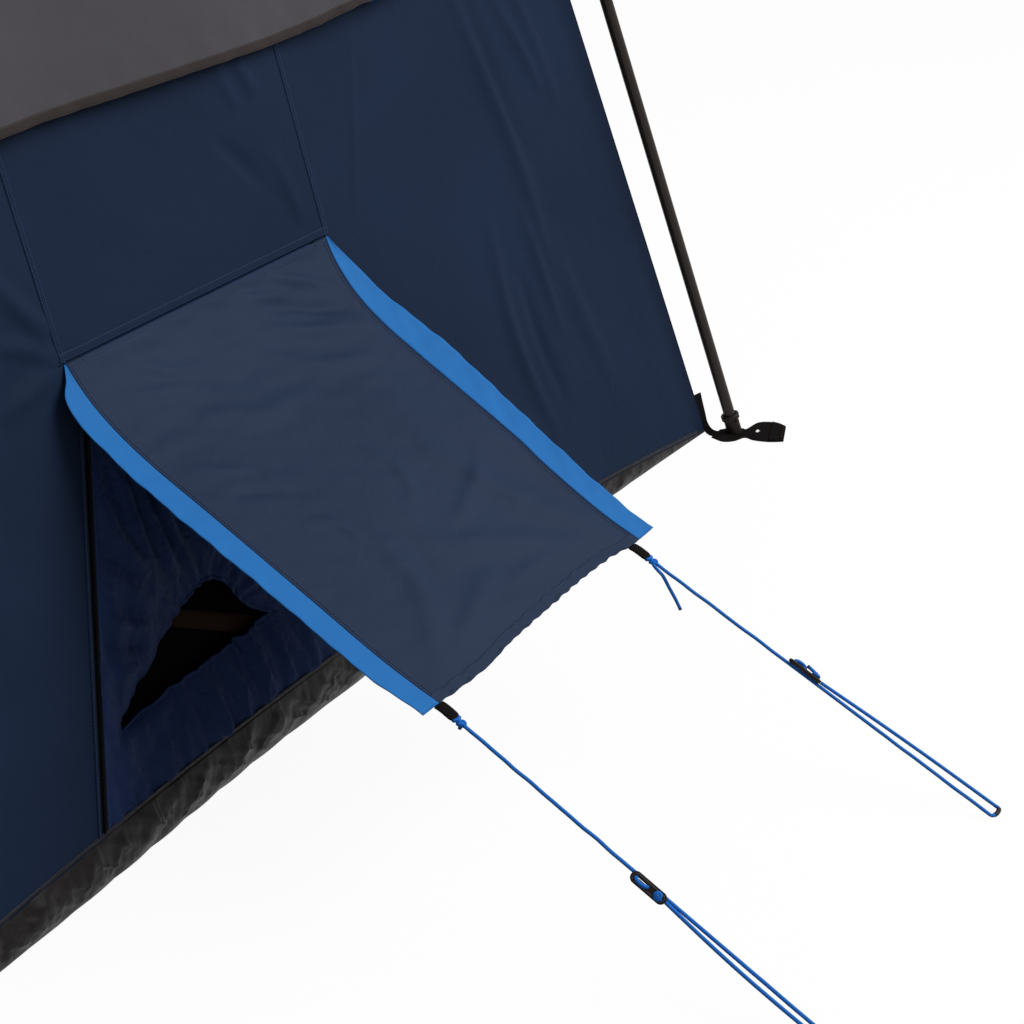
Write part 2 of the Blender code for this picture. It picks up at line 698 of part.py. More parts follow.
def slider(centre, along, outward):
    """Zip slider with a narrow nose, lying along the zip."""
    side = along.cross(outward).normalized()
    half = (SLIDER_LENGTH / 2, SLIDER_WIDTH / 2, SLIDER_T / 2)
    verts, faces = block(centre, (along, side, outward), half)
    for index in (4, 5, 6, 7):
        offset = (verts[index] - centre).dot(side)
        verts[index] = verts[index] - side * offset * SLIDER_NOSE
    return verts, faces


def build_front_wall(navy, metal, door_pivot, slider_pivot):
    """Wall round the door, the door leaf and its zip slider."""
    eave_end = wall_x(EAVE_Z)
    side = [(u, tub_top(u, HALF_W)) for u in steps(DOOR_HALF, wall_x(TUB_LIP), TUB_STEPS)]
    outline = [(-DOOR_HALF, DOOR_TOP_Z), (DOOR_HALF, DOOR_TOP_Z)] + side + [(eave_end, EAVE_Z)]
    outline += [(-eave_end, EAVE_Z)] + [(-u, z) for u, z in reversed(side)]
    solid("front_wall", *panel(outline, front_wall), navy)

    left = -DOOR_HALF + DOOR_HINGE_CLEAR
    right = DOOR_HALF - DOOR_CLEAR
    leaf = [(u, tub_top(u, HALF_W) + DOOR_CLEAR) for u in steps(left, right, TUB_STEPS // 2)]
    leaf += [(right, DOOR_TOP_Z - DOOR_CLEAR), (left, DOOR_TOP_Z - DOOR_CLEAR)]
    solid("door_leaf", *slab(leaf, front_wall, 0, FABRIC_T), navy, door_pivot)
    outward = Vector((0, -1, END_LEAN)).normalized()
    along = slope_step(front_wall, 0, 0)
    solid("door_zip_slider", *slider(slider_pivot.location, along, outward), metal, slider_pivot)


# Vent in the right wall
def ray_hit(outline, eye, angle):
    """Distance from the eye to an outline in one direction."""
    direction = np.array((math.cos(angle), math.sin(angle)))
    best = None
    for i, start in enumerate(outline):
        start = np.array(start)
        run = np.array(outline[(i + 1) % len(outline)]) - start
        matrix = np.array((direction, -run)).T
        if abs(np.linalg.det(matrix)) < 1e-12:
            continue
        reach, share = np.linalg.solve(matrix, start - np.array(eye))
        if reach > 0 and -1e-9 <= share <= 1 + 1e-9:
            best = reach if best is None else min(best, reach)
    return best


def vent_outline():
    """Outline between the zips, the awning's seam and the tub."""
    foot = vent_half(tub_top(vent_half(TUB_HEIGHT), HALF_D))
    lower = [(u, tub_top(u, HALF_D)) for u in steps(-foot, foot, TUB_STEPS)]
    return lower + [(VENT_TOP_HALF, SEAM_Z), (-VENT_TOP_HALF, SEAM_Z)]


def build_vent_panel(navy):
    """Slack panel between the zips, drawn into folds round its opening."""
    outer = inset(vent_outline(), HALF_GAP)
    eye = VENT_EYE
    key_points = list(VENT_OPENING) + [outer[0], outer[TUB_STEPS - 1], outer[-2], outer[-1]]
    angles = [math.atan2(z - eye[1], u - eye[0]) % (2 * math.pi) for u, z in key_points]
    angles += [2 * math.pi * k / VENT_SPOKES for k in range(VENT_SPOKES)]
    angles = sorted(angles)
    kept = [angles[0]]
    for angle in angles[1:]:
        if angle - kept[-1] > math.radians(1.5):
            kept.append(angle)
    reach = [(ray_hit(outer, eye, a), ray_hit(VENT_OPENING, eye, a)) for a in kept]
    spokes = len(kept)

    def depth_at(ring, spoke):
        share = ring / VENT_RINGS
        fold = 0.5 - 0.5 * math.cos(VENT_FOLDS * kept[spoke])
        swell = math.sin(math.pi * share * VENT_FOLD_REACH) ** 2
        return VENT_OPEN_DEPTH * share ** VENT_SAG_POWER + VENT_FOLD_DEPTH * fold * swell

    verts = []
    for thickness in (0, FABRIC_T):
        for ring in range(VENT_RINGS + 1):
            for spoke, angle in enumerate(kept):
                share = ring / VENT_RINGS
                distance = reach[spoke][0] * (1 - share) + reach[spoke][1] * share
                u = eye[0] + math.cos(angle) * distance
                z = eye[1] + math.sin(angle) * distance
                verts.append(right_wall(u, z, depth_at(ring, spoke) + thickness))
    layer = (VENT_RINGS + 1) * spokes
    faces = []
    for spoke in range(spokes):
        nxt = (spoke + 1) % spokes
        for ring in range(VENT_RINGS):
            a = ring * spokes
            faces.append((a + spoke, a + nxt, a + spokes + nxt, a + spokes + spoke))
            faces.append(tuple(layer + i for i in (a + spoke, a + spokes + spoke, a + spokes + nxt, a + nxt)))
        last = VENT_RINGS * spokes
        faces.append((spoke, layer + spoke, layer + nxt, nxt))
        faces.append((last + spoke, last + nxt, layer + last + nxt, layer + last + spoke))
    solid("vent_panel", verts, faces, navy)


def build_vent_mesh(netting):
    """Netting behind the vent panel, slack except along its sewn edges."""
    count = MESH_STEPS
    foot = vent_half(tub_top(vent_half(TUB_HEIGHT), HALF_D)) - HALF_GAP

    def surface(i, j, thickness):
        share = i / (count - 1)
        side = 2 * j / (count - 1) - 1
        low = tub_top(side * foot, HALF_D) + HALF_GAP
        z = low + (SEAM_Z - HALF_GAP - low) * share
        half = vent_half(z) - SEAM_GAP
        u = half * math.copysign(1 - (1 - abs(side)) ** 1.5, side)
        edge = min(half - abs(u), z - low, SEAM_Z - HALF_GAP - z)
        ramp = min(max(edge, 0) / MESH_RAMP, 1)
        depth = FABRIC_T + 3 * SEAM_GAP + MESH_SLACK * ramp * (2 - ramp)
        return right_wall(u, z, depth + thickness)
    solid("vent_mesh", *sheet(count, count, lambda i, j: surface(i, j, 0),
                              lambda i, j: surface(i, j, NETTING_T)), netting)


def build_vent(navy, netting, metal, slider_pivot):
    """Vent panel, netting and zip slider."""
    build_vent_panel(navy)
    build_vent_mesh(netting)
    outward = Vector((1, 0, SIDE_LEAN)).normalized()
    along = slope_step(right_wall, -VENT_SPREAD, SEAM_Z)
    solid("vent_zip_slider", *slider(slider_pivot.location, along, outward), metal, slider_pivot)


# Awning
def awning_point(t, y, lift):
    """World point of the awning at t from the hinge line, y along it and lift above its own cloth."""
    return AWNING_HINGE + AWNING_OUT * t + Vector((0, y, 0)) + AWNING_UP * (lift - awning_sag(t))


def build_awning(navy, blue, parent):
    """Awning sheet, its folded front hem and its two side strips."""
    half_t = FABRIC_T / 2
    end = AWNING_LENGTH - AWNING_EDGE
    cloth_end = end - HEM_WIDTH - SEAM_GAP
    stations = [AWNING_START + (cloth_end - AWNING_START) * (i / (AWNING_STEPS - 1)) ** 1.4
                for i in range(AWNING_STEPS)]

    def cloth(i, j, lift):
        return awning_point(stations[i], awning_half(stations[i]) * (2 * j / (AWNING_COLUMNS - 1) - 1), lift)
    solid("awning_panel", *sheet(AWNING_STEPS, AWNING_COLUMNS, lambda i, j: cloth(i, j, half_t),
                                 lambda i, j: cloth(i, j, -half_t)), navy, parent)

    hem_stations = (end - HEM_WIDTH, end)

    def hem(i, j, lift):
        t = hem_stations[i]
        return awning_point(t, awning_half(t) * (2 * j - 1), lift)
    solid("awning_hem", *sheet(2, 2, lambda i, j: hem(i, j, half_t), lambda i, j: hem(i, j, -half_t)),
          navy, parent)

    strip_stations = stations + [end]

    def strip(sign, taper):
        def surface(i, j, lift):
            t = strip_stations[i]
            full = min(1.0, 0.06 + t / taper)
            width = STRIP_WIDTH * full * j / 2
            y = awning_half(t) + SEAM_GAP + width * math.cos(STRIP_TILT)
            return awning_point(t, sign * y, lift + width * math.sin(STRIP_TILT))
        return sheet(AWNING_STEPS + 1, 3, lambda i, j: surface(i, j, half_t),
                     lambda i, j: surface(i, j, -half_t))
    solid("awning_strip_front", *strip(-1, STRIP_TAPER_FRONT), blue, parent)
    solid("awning_strip_rear", *strip(1, STRIP_TAPER_REAR), blue, parent)


# Guylines
class Guyline:
    """Places along one guyline: distance from the awning's corner, sideways and up."""

    def __init__(self, run):
        self.run = run
        self.corner = (AWNING_HINGE + AWNING_OUT * AWNING_LENGTH
                       + Vector((0, run.sign * (AWNING_FRONT_HALF - run.tab_inset), 0)))
        flat = Vector((math.cos(run.splay), run.sign * math.sin(run.splay), 0))
        self.along = (flat * math.cos(GUY_SLOPE) - Vector((0, 0, math.sin(GUY_SLOPE)))).normalized()
        self.side = Vector((0, 0, 1)).cross(self.along).normalized()
        self.up = self.along.cross(self.side).normalized()
        self.length = (self.corner.z - GUY_END_Z) / math.sin(GUY_SLOPE)
        self.axes = (self.along, self.side, self.up)
        self.hinge = self.corner + self.up * (TAB_T / 2)
        outward = self.side * run.sign
        self.plate_up = outward * math.sin(run.plate_roll) + self.up * math.cos(run.plate_roll)
        plate_side = outward * math.cos(run.plate_roll) - self.up * math.sin(run.plate_roll)
        lift = CORD_D / 2 + SEAM_GAP + TENSIONER_T / 2
        self.plate_off = self.plate_up * lift + plate_side * run.plate_aside

    def at(self, along, side=0.0, up=0.0):
        """World point at a place along the guyline."""
        return self.corner + self.along * along + self.side * side + self.up * up


def strand_points(guy, start, end, count, offsets, lift=0.0):
    """Points of one strand, sideways from one offset to another past a belly, with a lift that fades along it."""
    first, belly, last = offsets
    points = []
    for i in range(count):
        share = i / (count - 1)
        side = first + (last - first) * share + belly * math.sin(math.pi * share)
        points.append(guy.at(start + (end - start) * share, guy.run.sign * side, lift * (1 - share) ** 2))
    return points


def build_knot(suffix, guy, knot_at, cord_finish, parent, tail):
    """Knot in the tab's loop; the rear one has the cord's loose end on it."""
    profile = [(-KNOT_R * math.cos(a), KNOT_R * math.sin(a)) for a in steps(0, math.pi, 7)]
    profile[0] = (-KNOT_R, 0)
    profile[-1] = (KNOT_R, 0)
    knot = smooth(solid("awning_knot_" + suffix, *turned(profile, guy.at(knot_at), guy.along, 10),
                        cord_finish, parent), 60)
    if not tail:
        return
    stations = []
    for share in steps(0, 1, TAIL_STATIONS):
        drop = TAIL_DROP * share ** TAIL_POWER
        point = guy.at(knot_at + TAIL_ALONG * share, -TAIL_ASIDE * (1 - share), -drop)
        slope = TAIL_DROP * TAIL_POWER * share ** (TAIL_POWER - 1)
        direction = (guy.along * TAIL_ALONG + guy.side * TAIL_ASIDE - guy.up * slope).normalized()
        stations.append((point, direction, CORD_D / 2))
    unite(knot, "loose_end", *bent_rod(stations, guy.side, 8))


def build_guyline(suffix, guy, cord_finish, webbing, plastic, parent, tensioner_pivot, tail):
    """Tab, knot, cord, tensioner and doubled end of one guyline."""
    centre = guy.at(TAB_START + TAB_LENGTH / 2)
    verts, faces = block(centre, guy.axes, (TAB_LENGTH / 2, TAB_WIDTH / 2, TAB_T / 2))
    skew = guy.along.y / guy.along.x / math.cos(GUY_SLOPE)
    for index in (0, 1, 2, 3):
        verts[index] = verts[index] + guy.along * (verts[index] - centre).dot(guy.side) * skew
    solid("guyline_tab_" + suffix, verts, faces, webbing, parent)
    knot_at = TAB_START + TAB_LENGTH + SEAM_GAP + KNOT_R
    build_knot(suffix, guy, knot_at, cord_finish, parent, tail)

    cord_start = knot_at + KNOT_R + SEAM_GAP
    cord("guyline_" + suffix, strand_points(guy, cord_start, guy.length, 25, (0, 0, 0)), cord_finish, parent)
    back_start = guy.run.plate_at + TENSIONER_LENGTH / 2 + SEAM_GAP
    offsets = (guy.plate_off.dot(guy.side) * guy.run.sign, STRAND_BELLY, guy.run.apart)
    back = strand_points(guy, back_start, guy.length, 12, offsets, guy.plate_off.dot(guy.up))
    cord("return_strand_" + suffix, back, cord_finish, parent)

    plate_at = guy.at(guy.run.plate_at) + guy.plate_off
    axes = (guy.along, guy.plate_up.cross(guy.along), guy.plate_up)
    half = (TENSIONER_LENGTH / 2, TENSIONER_WIDTH / 2, TENSIONER_T / 2)
    plate = solid("tensioner_" + suffix, *block(plate_at, axes, half), plastic, tensioner_pivot)
    bevel = plate.modifiers.new("rounded", "BEVEL")
    bevel.width = TENSIONER_ROUND
    bevel.segments = 2
    slot_at = plate_at + guy.along * TENSIONER_LENGTH * TENSIONER_SLOT_AT
    slot_half = (TENSIONER_SLOT[0] / 2, TENSIONER_SLOT[1] / 2, TENSIONER_T)
    cut(plate, "slot_" + suffix, *block(slot_at, axes, slot_half))
    hole = [(-TENSIONER_T, 0), (-TENSIONER_T, TENSIONER_HOLE_R), (TENSIONER_T, TENSIONER_HOLE_R),
            (TENSIONER_T, 0)]
    hole_at = plate_at + guy.along * TENSIONER_LENGTH * TENSIONER_HOLE_AT
    cut(plate, "hole_" + suffix, *turned(hole, hole_at, guy.plate_up, 10))


# Ceiling and rain fly
def pyramid(half_x, half_y, low, high):
    """Thin four-sided roof; low and high are the undersides of its edge and its peak."""
    verts = []
    for lift in (0, FABRIC_T):
        verts += [(x * half_x, y * half_y, low + lift) for x, y in ((-1, -1), (1, -1), (1, 1), (-1, 1))]
        verts.append((0, 0, high + lift))
    faces = []
    for k in range(4):
        k2 = (k + 1) % 4
        faces += [(k, k2, 4), (k2 + 5, k + 5, 9), (k, k + 5, k2 + 5, k2)]
    return verts, faces


def build_ceiling(navy):
    """Ceiling on the walls' top edges, with its ties."""
    low = EAVE_Z + HALF_GAP
    ceiling = solid("ceiling", *pyramid(wall_x(EAVE_Z), wall_y(EAVE_Z), low, low + CEILING_RISE), navy)
    unite(ceiling, "ceiling_ties", *join_parts(tie_parts()))


def side_drop(sign):
    """Places on a hanging side of the fly over the left or right wall."""
    return lambda u, z, depth: (sign * (FLY_X - depth), u, z)


def end_drop(sign):
    """Places on a hanging side of the fly over the front or rear wall."""
    return lambda u, z, depth: (u, sign * (FLY_Y - depth), z)


def build_fly(grey):
    """Roof of the rain fly with its hanging sides and front brow."""
    low = FLY_EAVE_Z - FABRIC_T
    cover = solid("fly_cover", *pyramid(FLY_X + FLY_LIP, FLY_Y + FLY_LIP, low, FLY_APEX_Z - FABRIC_T), grey)
    top = FLY_EAVE_Z
    drops = []
    for place, far, hem in ((side_drop(1), FLY_Y, FLY_HEM_Z), (side_drop(-1), FLY_Y, FLY_HEM_Z),
                            (end_drop(1), FLY_X, FLY_HEM_Z), (end_drop(-1), FLY_X, FLY_EAVE_Z - FLY_BROW)):
        near = far - GUSSET_WIDTH - HALF_GAP
        drops.append(slab([(-near, hem), (near, hem), (near, top), (-near, top)], place, 0, FABRIC_T))
    unite(cover, "fly_drops", *join_parts(drops))


def build_gusset(corner, blue):
    """Corner piece of the fly, its lower edge sweeping up over the leg."""
    sx, sy = CORNERS[corner]
    side_hem = FLY_HEM_Z
    end_hem = FLY_HEM_Z if sy > 0 else FLY_EAVE_Z - FLY_BROW
    columns = []
    for i in range(2 * GUSSET_STEPS + 1):
        share = abs(i / GUSSET_STEPS - 1)
        run = (GUSSET_WIDTH - HALF_GAP) * share
        hem = side_hem if i < GUSSET_STEPS else end_hem
        low = GUSSET_CORNER_Z + (hem - GUSSET_CORNER_Z) * (1 - (1 - share) ** 2)
        columns.append((0 if i >= GUSSET_STEPS else run, 0 if i <= GUSSET_STEPS else run, low))

    def surface(i, j, inward):
        back_y, back_x, low = columns[j]
        z = low if i == 0 else FLY_TOP_Z - HALF_GAP
        x = FLY_X - (back_x if back_x else inward)
        y = FLY_Y - (back_y if back_y else inward)
        return (sx * x, sy * y, z)
    solid("fly_gusset_" + corner, *sheet(2, len(columns), lambda i, j: surface(i, j, 0),
                                         lambda i, j: surface(i, j, FABRIC_T)), blue)


def main():
    """Model every piece."""
    clear_scene()
    navy = finish("navy_polyester", "1f2c45", 0.75)
    blue = finish("bright_blue_polyester", "2f72c0", 0.7)
    grey = finish("grey_polyester", "4b4748", 0.8)
    tub = finish("dark_grey_tarpaulin", "3b3837", 0.6)
    netting = finish("black_netting", "141414", 0.9)
    webbing = finish("black_webbing", "141312", 0.85)
    steel = finish("painted_steel", "2e2a27", 0.35, 0.0)
    plastic = finish("black_plastic", "1a1817", 0.45)
    metal = finish("blackened_slider", "26262a", 0.4, 0.6)
    cord_blue = finish("bright_blue_cord", "2263b5", 0.7)

    rafters = {corner: build_leg(corner, steel, plastic) for corner in CORNERS}
    build_hub(rafters, plastic)
    build_floor(tub)
    build_tub(tub)
    for corner in CORNERS:
        build_stake_loop(corner, webbing)

    hinge_z = WINDOW_LOW_Z - WINDOW_FLAP_LAP
    flap_pivot = pivot("window_flap_pivot", rear_wall(0, hinge_z, FABRIC_T + 2 * SEAM_GAP))
    door_pivot = pivot("door_pivot", front_wall(-DOOR_HALF, 0, 0))
    seated = -(SEAM_GAP + SLIDER_T / 2) * math.sqrt(1 + SIDE_LEAN ** 2)
    vent_slider = pivot("vent_slider_pivot", right_wall(-vent_half(VENT_SLIDER_Z), VENT_SLIDER_Z, seated))
    zip_u = DOOR_HALF + ZIP_WIDTH / 2 + DOOR_CLEAR
    slider_z = tub_top(zip_u, HALF_W) + SLIDER_LENGTH
    door_slider = pivot("door_slider_pivot", front_wall(zip_u, slider_z, seated))
    build_right_wall(navy)
    build_left_wall(navy)
    build_rear_wall(navy, netting, flap_pivot)
    build_front_wall(navy, metal, door_pivot, door_slider)
    build_vent(navy, netting, metal, vent_slider)

    awning_pivot = pivot("awning_pivot", AWNING_HINGE)
    build_awning(navy, blue, awning_pivot)
    for suffix, run in (("front", GUY_FRONT), ("rear", GUY_REAR)):
        guy = Guyline(run)
        guy_pivot = pivot("guyline_pivot_" + suffix, guy.hinge)
        tensioner_pivot = pivot("tensioner_pivot_" + suffix, guy.at(run.plate_at))
        build_guyline(suffix, guy, cord_blue, webbing, plastic, guy_pivot, tensioner_pivot, run.sign > 0)
        print("guyline", suffix, "hinge", tuple(round(v, 4) for v in guy.hinge),
              "along", tuple(round(v, 5) for v in guy.along), "length", round(guy.length, 4))
    build_ceiling(navy)
    build_fly(grey)
    for corner in CORNERS:
        build_gusset(corner, blue)
    print("awning hinge", tuple(round(v, 4) for v in AWNING_HINGE))
    print("vent slider", tuple(round(v, 4) for v in vent_slider.location),
          "along", tuple(round(v, 5) for v in slope_step(right_wall, -VENT_SPREAD, SEAM_Z)))
    print("door pivot", tuple(round(v, 4) for v in door_pivot.location), "door slider",
          tuple(round(v, 4) for v in door_slider.location))
    print("flap pivot", tuple(round(v, 4) for v in flap_pivot.location))
    print("fly", round(FLY_X, 4), round(FLY_Y, 4), "corner z", round(GUSSET_CORNER_Z, 4))


main()
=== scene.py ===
"""A cabin tent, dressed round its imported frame: cloth, seams, netting, webbing, zips, cords and fittings.

Every place is in metres in the part's own frame: +Z is up, the right wall (+X) carries the awning,
and the door is in the front wall (-Y).
"""
from __future__ import annotations

import json
import logging
from collections.abc import Callable, Iterable
from dataclasses import dataclass, field
from enum import Enum
from math import cos, pi, radians, sin, sqrt, tan, tau

import bpy
import numpy as np
from mathutils import Matrix, Vector

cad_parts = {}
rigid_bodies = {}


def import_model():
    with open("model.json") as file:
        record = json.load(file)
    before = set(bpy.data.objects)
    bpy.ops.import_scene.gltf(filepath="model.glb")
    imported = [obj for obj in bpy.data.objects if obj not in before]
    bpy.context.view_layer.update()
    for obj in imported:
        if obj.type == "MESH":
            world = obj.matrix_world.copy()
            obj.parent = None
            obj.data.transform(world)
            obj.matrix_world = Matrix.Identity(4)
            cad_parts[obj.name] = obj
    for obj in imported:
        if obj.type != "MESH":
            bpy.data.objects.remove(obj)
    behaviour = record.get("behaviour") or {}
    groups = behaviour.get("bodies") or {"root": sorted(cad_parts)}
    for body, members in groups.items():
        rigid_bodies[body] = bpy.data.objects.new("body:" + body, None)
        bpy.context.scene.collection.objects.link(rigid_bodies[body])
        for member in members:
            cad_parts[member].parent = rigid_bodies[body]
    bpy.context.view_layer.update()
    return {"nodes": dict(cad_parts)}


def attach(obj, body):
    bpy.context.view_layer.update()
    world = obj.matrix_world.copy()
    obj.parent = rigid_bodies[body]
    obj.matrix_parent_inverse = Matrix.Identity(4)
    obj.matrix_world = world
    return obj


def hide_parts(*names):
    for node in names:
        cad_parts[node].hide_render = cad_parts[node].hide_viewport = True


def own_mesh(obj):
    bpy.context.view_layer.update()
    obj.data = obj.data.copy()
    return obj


LOG = logging.getLogger("cabin tent")
Array = np.ndarray
MeshData = tuple[Array, list[list[int]]]
Value = Array | float
Size = tuple[float, float, float]
Piece = bpy.types.Object
Tree = bpy.types.NodeTree
Socket = bpy.types.NodeSocket

# Sizes of the tent, as in the part's source
HALF_W = 1.525
HALF_D = 1.22
EAVE_Z = 1.4
CEILING_RISE = 0.39
SIDE_LEAN = 0.265
END_LEAN = 0.15
TUB_HEIGHT = 0.083
TUB_TUCK = 0.035
TUB_LIP = 0.005
TUB_BULGE = 0.25
SEAM_Z = 0.649
SEAM_HALF = 0.29
VENT_TOP_HALF = 0.2536
VENT_SPREAD = 0.3765
FLY_X = 1.3001
FLY_Y = 1.1002
FLY_HEM_Z = 0.945
FLY_EAVE_Z = 1.455
FLY_APEX_Z = 1.903
FLY_BROW = 0.095
GUSSET_WIDTH = 0.595
GUSSET_CORNER_Z = 1.1886
# Thickness of the cloth, the netting, a folded hem and a zip's tape
CLOTH_T = 0.0012
NET_T = 0.0006
FOLD_T = 0.0014
TAPE_T = 0.0008
# How far inside the neighbouring wall a wall ends
CORNER_GAP = 0.0016
UPWARD = np.array([0, 0, 1.0])

# Where the guylines' tabs sit along the awning's front edge
TAB_AT = {"front": -0.258, "rear": 0.2469}

# A crease: both places of each point of its line and its width in mm, and its height in tenths of one
Fold = tuple[int, ...]
# Both places of each point of a line, in tenths of a mm
Line = tuple[int, ...]
Place = Iterable[float]


class Side(Enum):
    """The four walls, each with the sign of the axis that it faces."""

    RIGHT = ("x", 1)
    LEFT = ("x", -1)
    REAR = ("y", 1)
    FRONT = ("y", -1)

    @property
    def half(self) -> float:
        """Half the wall's length along the ground."""
        return HALF_D if self.value[0] == "x" else HALF_W

    @property
    def outward(self) -> Vector:
        """Unit vector square to the wall, pointing out."""
        axis, sign = self.value
        flat = (sign, 0, SIDE_LEAN) if axis == "x" else (0, sign, END_LEAN)
        return Vector(flat).normalized()


def wall_x(z: Value) -> Value:
    """Outer face of the side walls at height z: the floor's half width less the lean times the height."""
    return HALF_W - SIDE_LEAN * z


def wall_y(z: Value) -> Value:
    """Outer face of the end walls at height z, in the same way."""
    return HALF_D - END_LEAN * z


def on_wall(side: Side, u: Value, z: Value, depth: Value) -> Array:
    """Points on a wall.

    Args:
        side: the wall.
        u: distance along it from its middle.
        z: height.
        depth: how far inward of its outer face, level.

    Returns:
        An array with a last axis of three: the face's own coordinate less the depth, u and z.
    """
    axis, sign = side.value
    if axis == "x":
        parts = (sign * (wall_x(z) - depth), u, z)
    else:
        parts = (u, sign * (wall_y(z) - depth), z)
    return np.stack(np.broadcast_arrays(*parts), axis=-1).astype(float)


def tub_top(u: Value, half: float) -> Value:
    """Height of the tub's seam: its lip plus a parabola that is highest at the wall's middle."""
    return TUB_LIP + (TUB_HEIGHT - TUB_LIP) * (1 - (np.asarray(u) / half) ** 2)


def vent_half(z: Value) -> Value:
    """Half width between the vent's zips: its top half width plus the spread times the drop."""
    return VENT_TOP_HALF + VENT_SPREAD * (SEAM_Z - z)


def smoothstep(value: Array, low: float, high: float) -> Array:
    """A rise from 0 at low to 1 at high: three times the share squared less twice its cube."""
    share = np.clip((value - low) / (high - low), 0, 1)
    return share * share * (3 - 2 * share)


def folds_relief(u: Array, z: Array, folds: Iterable[Fold], wider: float = 1.0, higher: float = 1.0) -> Array:
    """Height of creases in cloth.

    Each crease follows a smooth line of given points. Its section is a bell, the height times e to the
    minus square of distance over width, and it swells and fades along the line nearly as a half sine.

    Args:
        u: distance along the cloth.
        z: distance up it.
        folds: the creases.
        wider: what each width is multiplied by.
        higher: what each height is multiplied by.

    Returns:
        The summed height at each place.
    """
    total = np.zeros(np.broadcast(u, z).shape)
    for *line, width, height in folds:
        path = curve_through(np.reshape(line, (-1, 2)) / 1000, 25)
        near = np.full(total.shape, 1e9)
        share = np.zeros(total.shape)
        for k, run in enumerate(np.diff(path, axis=0)):
            du, dz = u - path[k, 0], z - path[k, 1]
            along = np.clip((du * run[0] + dz * run[1]) / max(run @ run, 1e-12), 0, 1)
            gap = (du - along * run[0]) ** 2 + (dz - along * run[1]) ** 2
            share = np.where(gap < near, (k + along) / (len(path) - 1), share)
            near = np.minimum(gap, near)
        bell = np.exp(-near / (width / 1000 * wider) ** 2)
        total += height / 10000 * higher * bell * np.sin(pi * np.clip(share, 0, 1)) ** 0.8
    return total


def swells(u: Array, z: Array, seed: int, wave: float, height: float, upright: float = 4.0) -> Array:
    """Soft uneven swells of slack cloth: a sum of six sines of seeded pitch, tilt and phase.

    Args:
        u: distance along the cloth.
        z: distance up it.
        seed: start of the random draw.
        wave: usual distance from crest to crest.
        height: usual height of a crest.
        upright: how much longer a swell is upward than across.

    Returns:
        The height at each place.
    """
    draw = np.random.default_rng(seed)
    total = np.zeros(np.broadcast(u, z).shape)
    for _ in range(6):
        pitch = tau / (wave * draw.uniform(0.6, 1.6))
        tilt = pitch / upright * draw.uniform(-1, 1)
        total += draw.uniform(0.4, 1.0) * np.sin(pitch * u + tilt * z + draw.uniform(0, tau))
    return height * total / 2.4


# Meshes
def unit(vectors: Array) -> Array:
    """Vectors made one long."""
    return vectors / np.maximum(np.linalg.norm(vectors, axis=-1, keepdims=True), 1e-12)


def run_along(path: Array) -> Array:
    """Distance of each point of a path from its start, added up along it."""
    return np.concatenate([[0.0], np.cumsum(np.linalg.norm(np.diff(path, axis=0), axis=1))])


def grid_faces(rows: int, columns: int, round_columns: bool = False) -> Array:
    """Quads of a grid of points, row by row; round_columns joins the last column to the first."""
    i = np.arange(rows - 1)[:, None]
    j = np.arange(columns if round_columns else columns - 1)[None, :]
    a = i * columns + j
    b = i * columns + (j + 1) % columns
    return np.stack([a, b, b + columns, a + columns], axis=-1).reshape(-1, 4)


def grid_normals(grid: Array, round_columns: bool = False) -> Array:
    """Unit normals of a grid: the cross product of its steps across and along."""
    if round_columns:
        across = np.roll(grid, -1, axis=1) - np.roll(grid, 1, axis=1)
    else:
        across = np.gradient(grid, axis=1)
    return unit(np.cross(across, np.gradient(grid, axis=0)))


def outward_faces(points: Array, faces: list[list[int]]) -> list[list[int]]:
    """Faces turned so that the body's signed volume, the sum of its fans' determinants, is positive."""
    by_size: dict[int, list[list[int]]] = {}
    for face in faces:
        by_size.setdefault(len(face), []).append(face)
    volume = 0.0
    for size, group in by_size.items():
        index = np.array(group)
        for k in range(1, size - 1):
            a, b, c = points[index[:, 0]], points[index[:, k]], points[index[:, k + 1]]
            volume += float(np.einsum("ij,ij->i", a, np.cross(b, c)).sum())
    return faces if volume > 0 else [face[::-1] for face in faces]


def two_layers(outer: Array, inner: Array, round_columns: bool = False, keep: Array | None = None) -> MeshData:
    """Closed body between two grids of the same shape, with a rim wherever a cell has no neighbour.

    Args:
        outer: points of one side.
        inner: points of the other.
        round_columns: whether the last column joins the first.
        keep: which cells there are, or none for all.

    Returns:
        The mesh; points that no cell uses are still in it.
    """
    rows, columns = outer.shape[:2]
    size = rows * columns
    layer = grid_faces(rows, columns, round_columns)
    if keep is not None:
        layer = layer[keep.ravel()]
    start = layer.ravel()
    end = np.roll(layer, -1, axis=1).ravel()
    free = ~np.isin(start * size + end, end * size + start)
    start, end = start[free], end[free]
    rim = np.stack([end, start, start + size, end + size], axis=-1)
    faces = np.concatenate([layer, layer[:, ::-1] + size, rim])
    return np.concatenate([outer.reshape(-1, 3), inner.reshape(-1, 3)]), faces.tolist()


def cloth(grid: Array, thickness: float = CLOTH_T, round_columns: bool = False, keep: Array | None = None) -> MeshData:
    """Closed cloth half its thickness to each side of a grid, along the grid's normals."""
    shift = grid_normals(grid, round_columns) * thickness / 2
    return two_layers(grid + shift, grid - shift, round_columns, keep)


def frames_along(path: Array, up: Array) -> tuple[Array, Array]:
    """Unit vectors across a path, its tangent cross up, and the normals square to both."""
    tangent = unit(np.gradient(path, axis=0))
    side = unit(np.cross(tangent, np.asarray(up, float)))
    return side, np.cross(side, tangent)


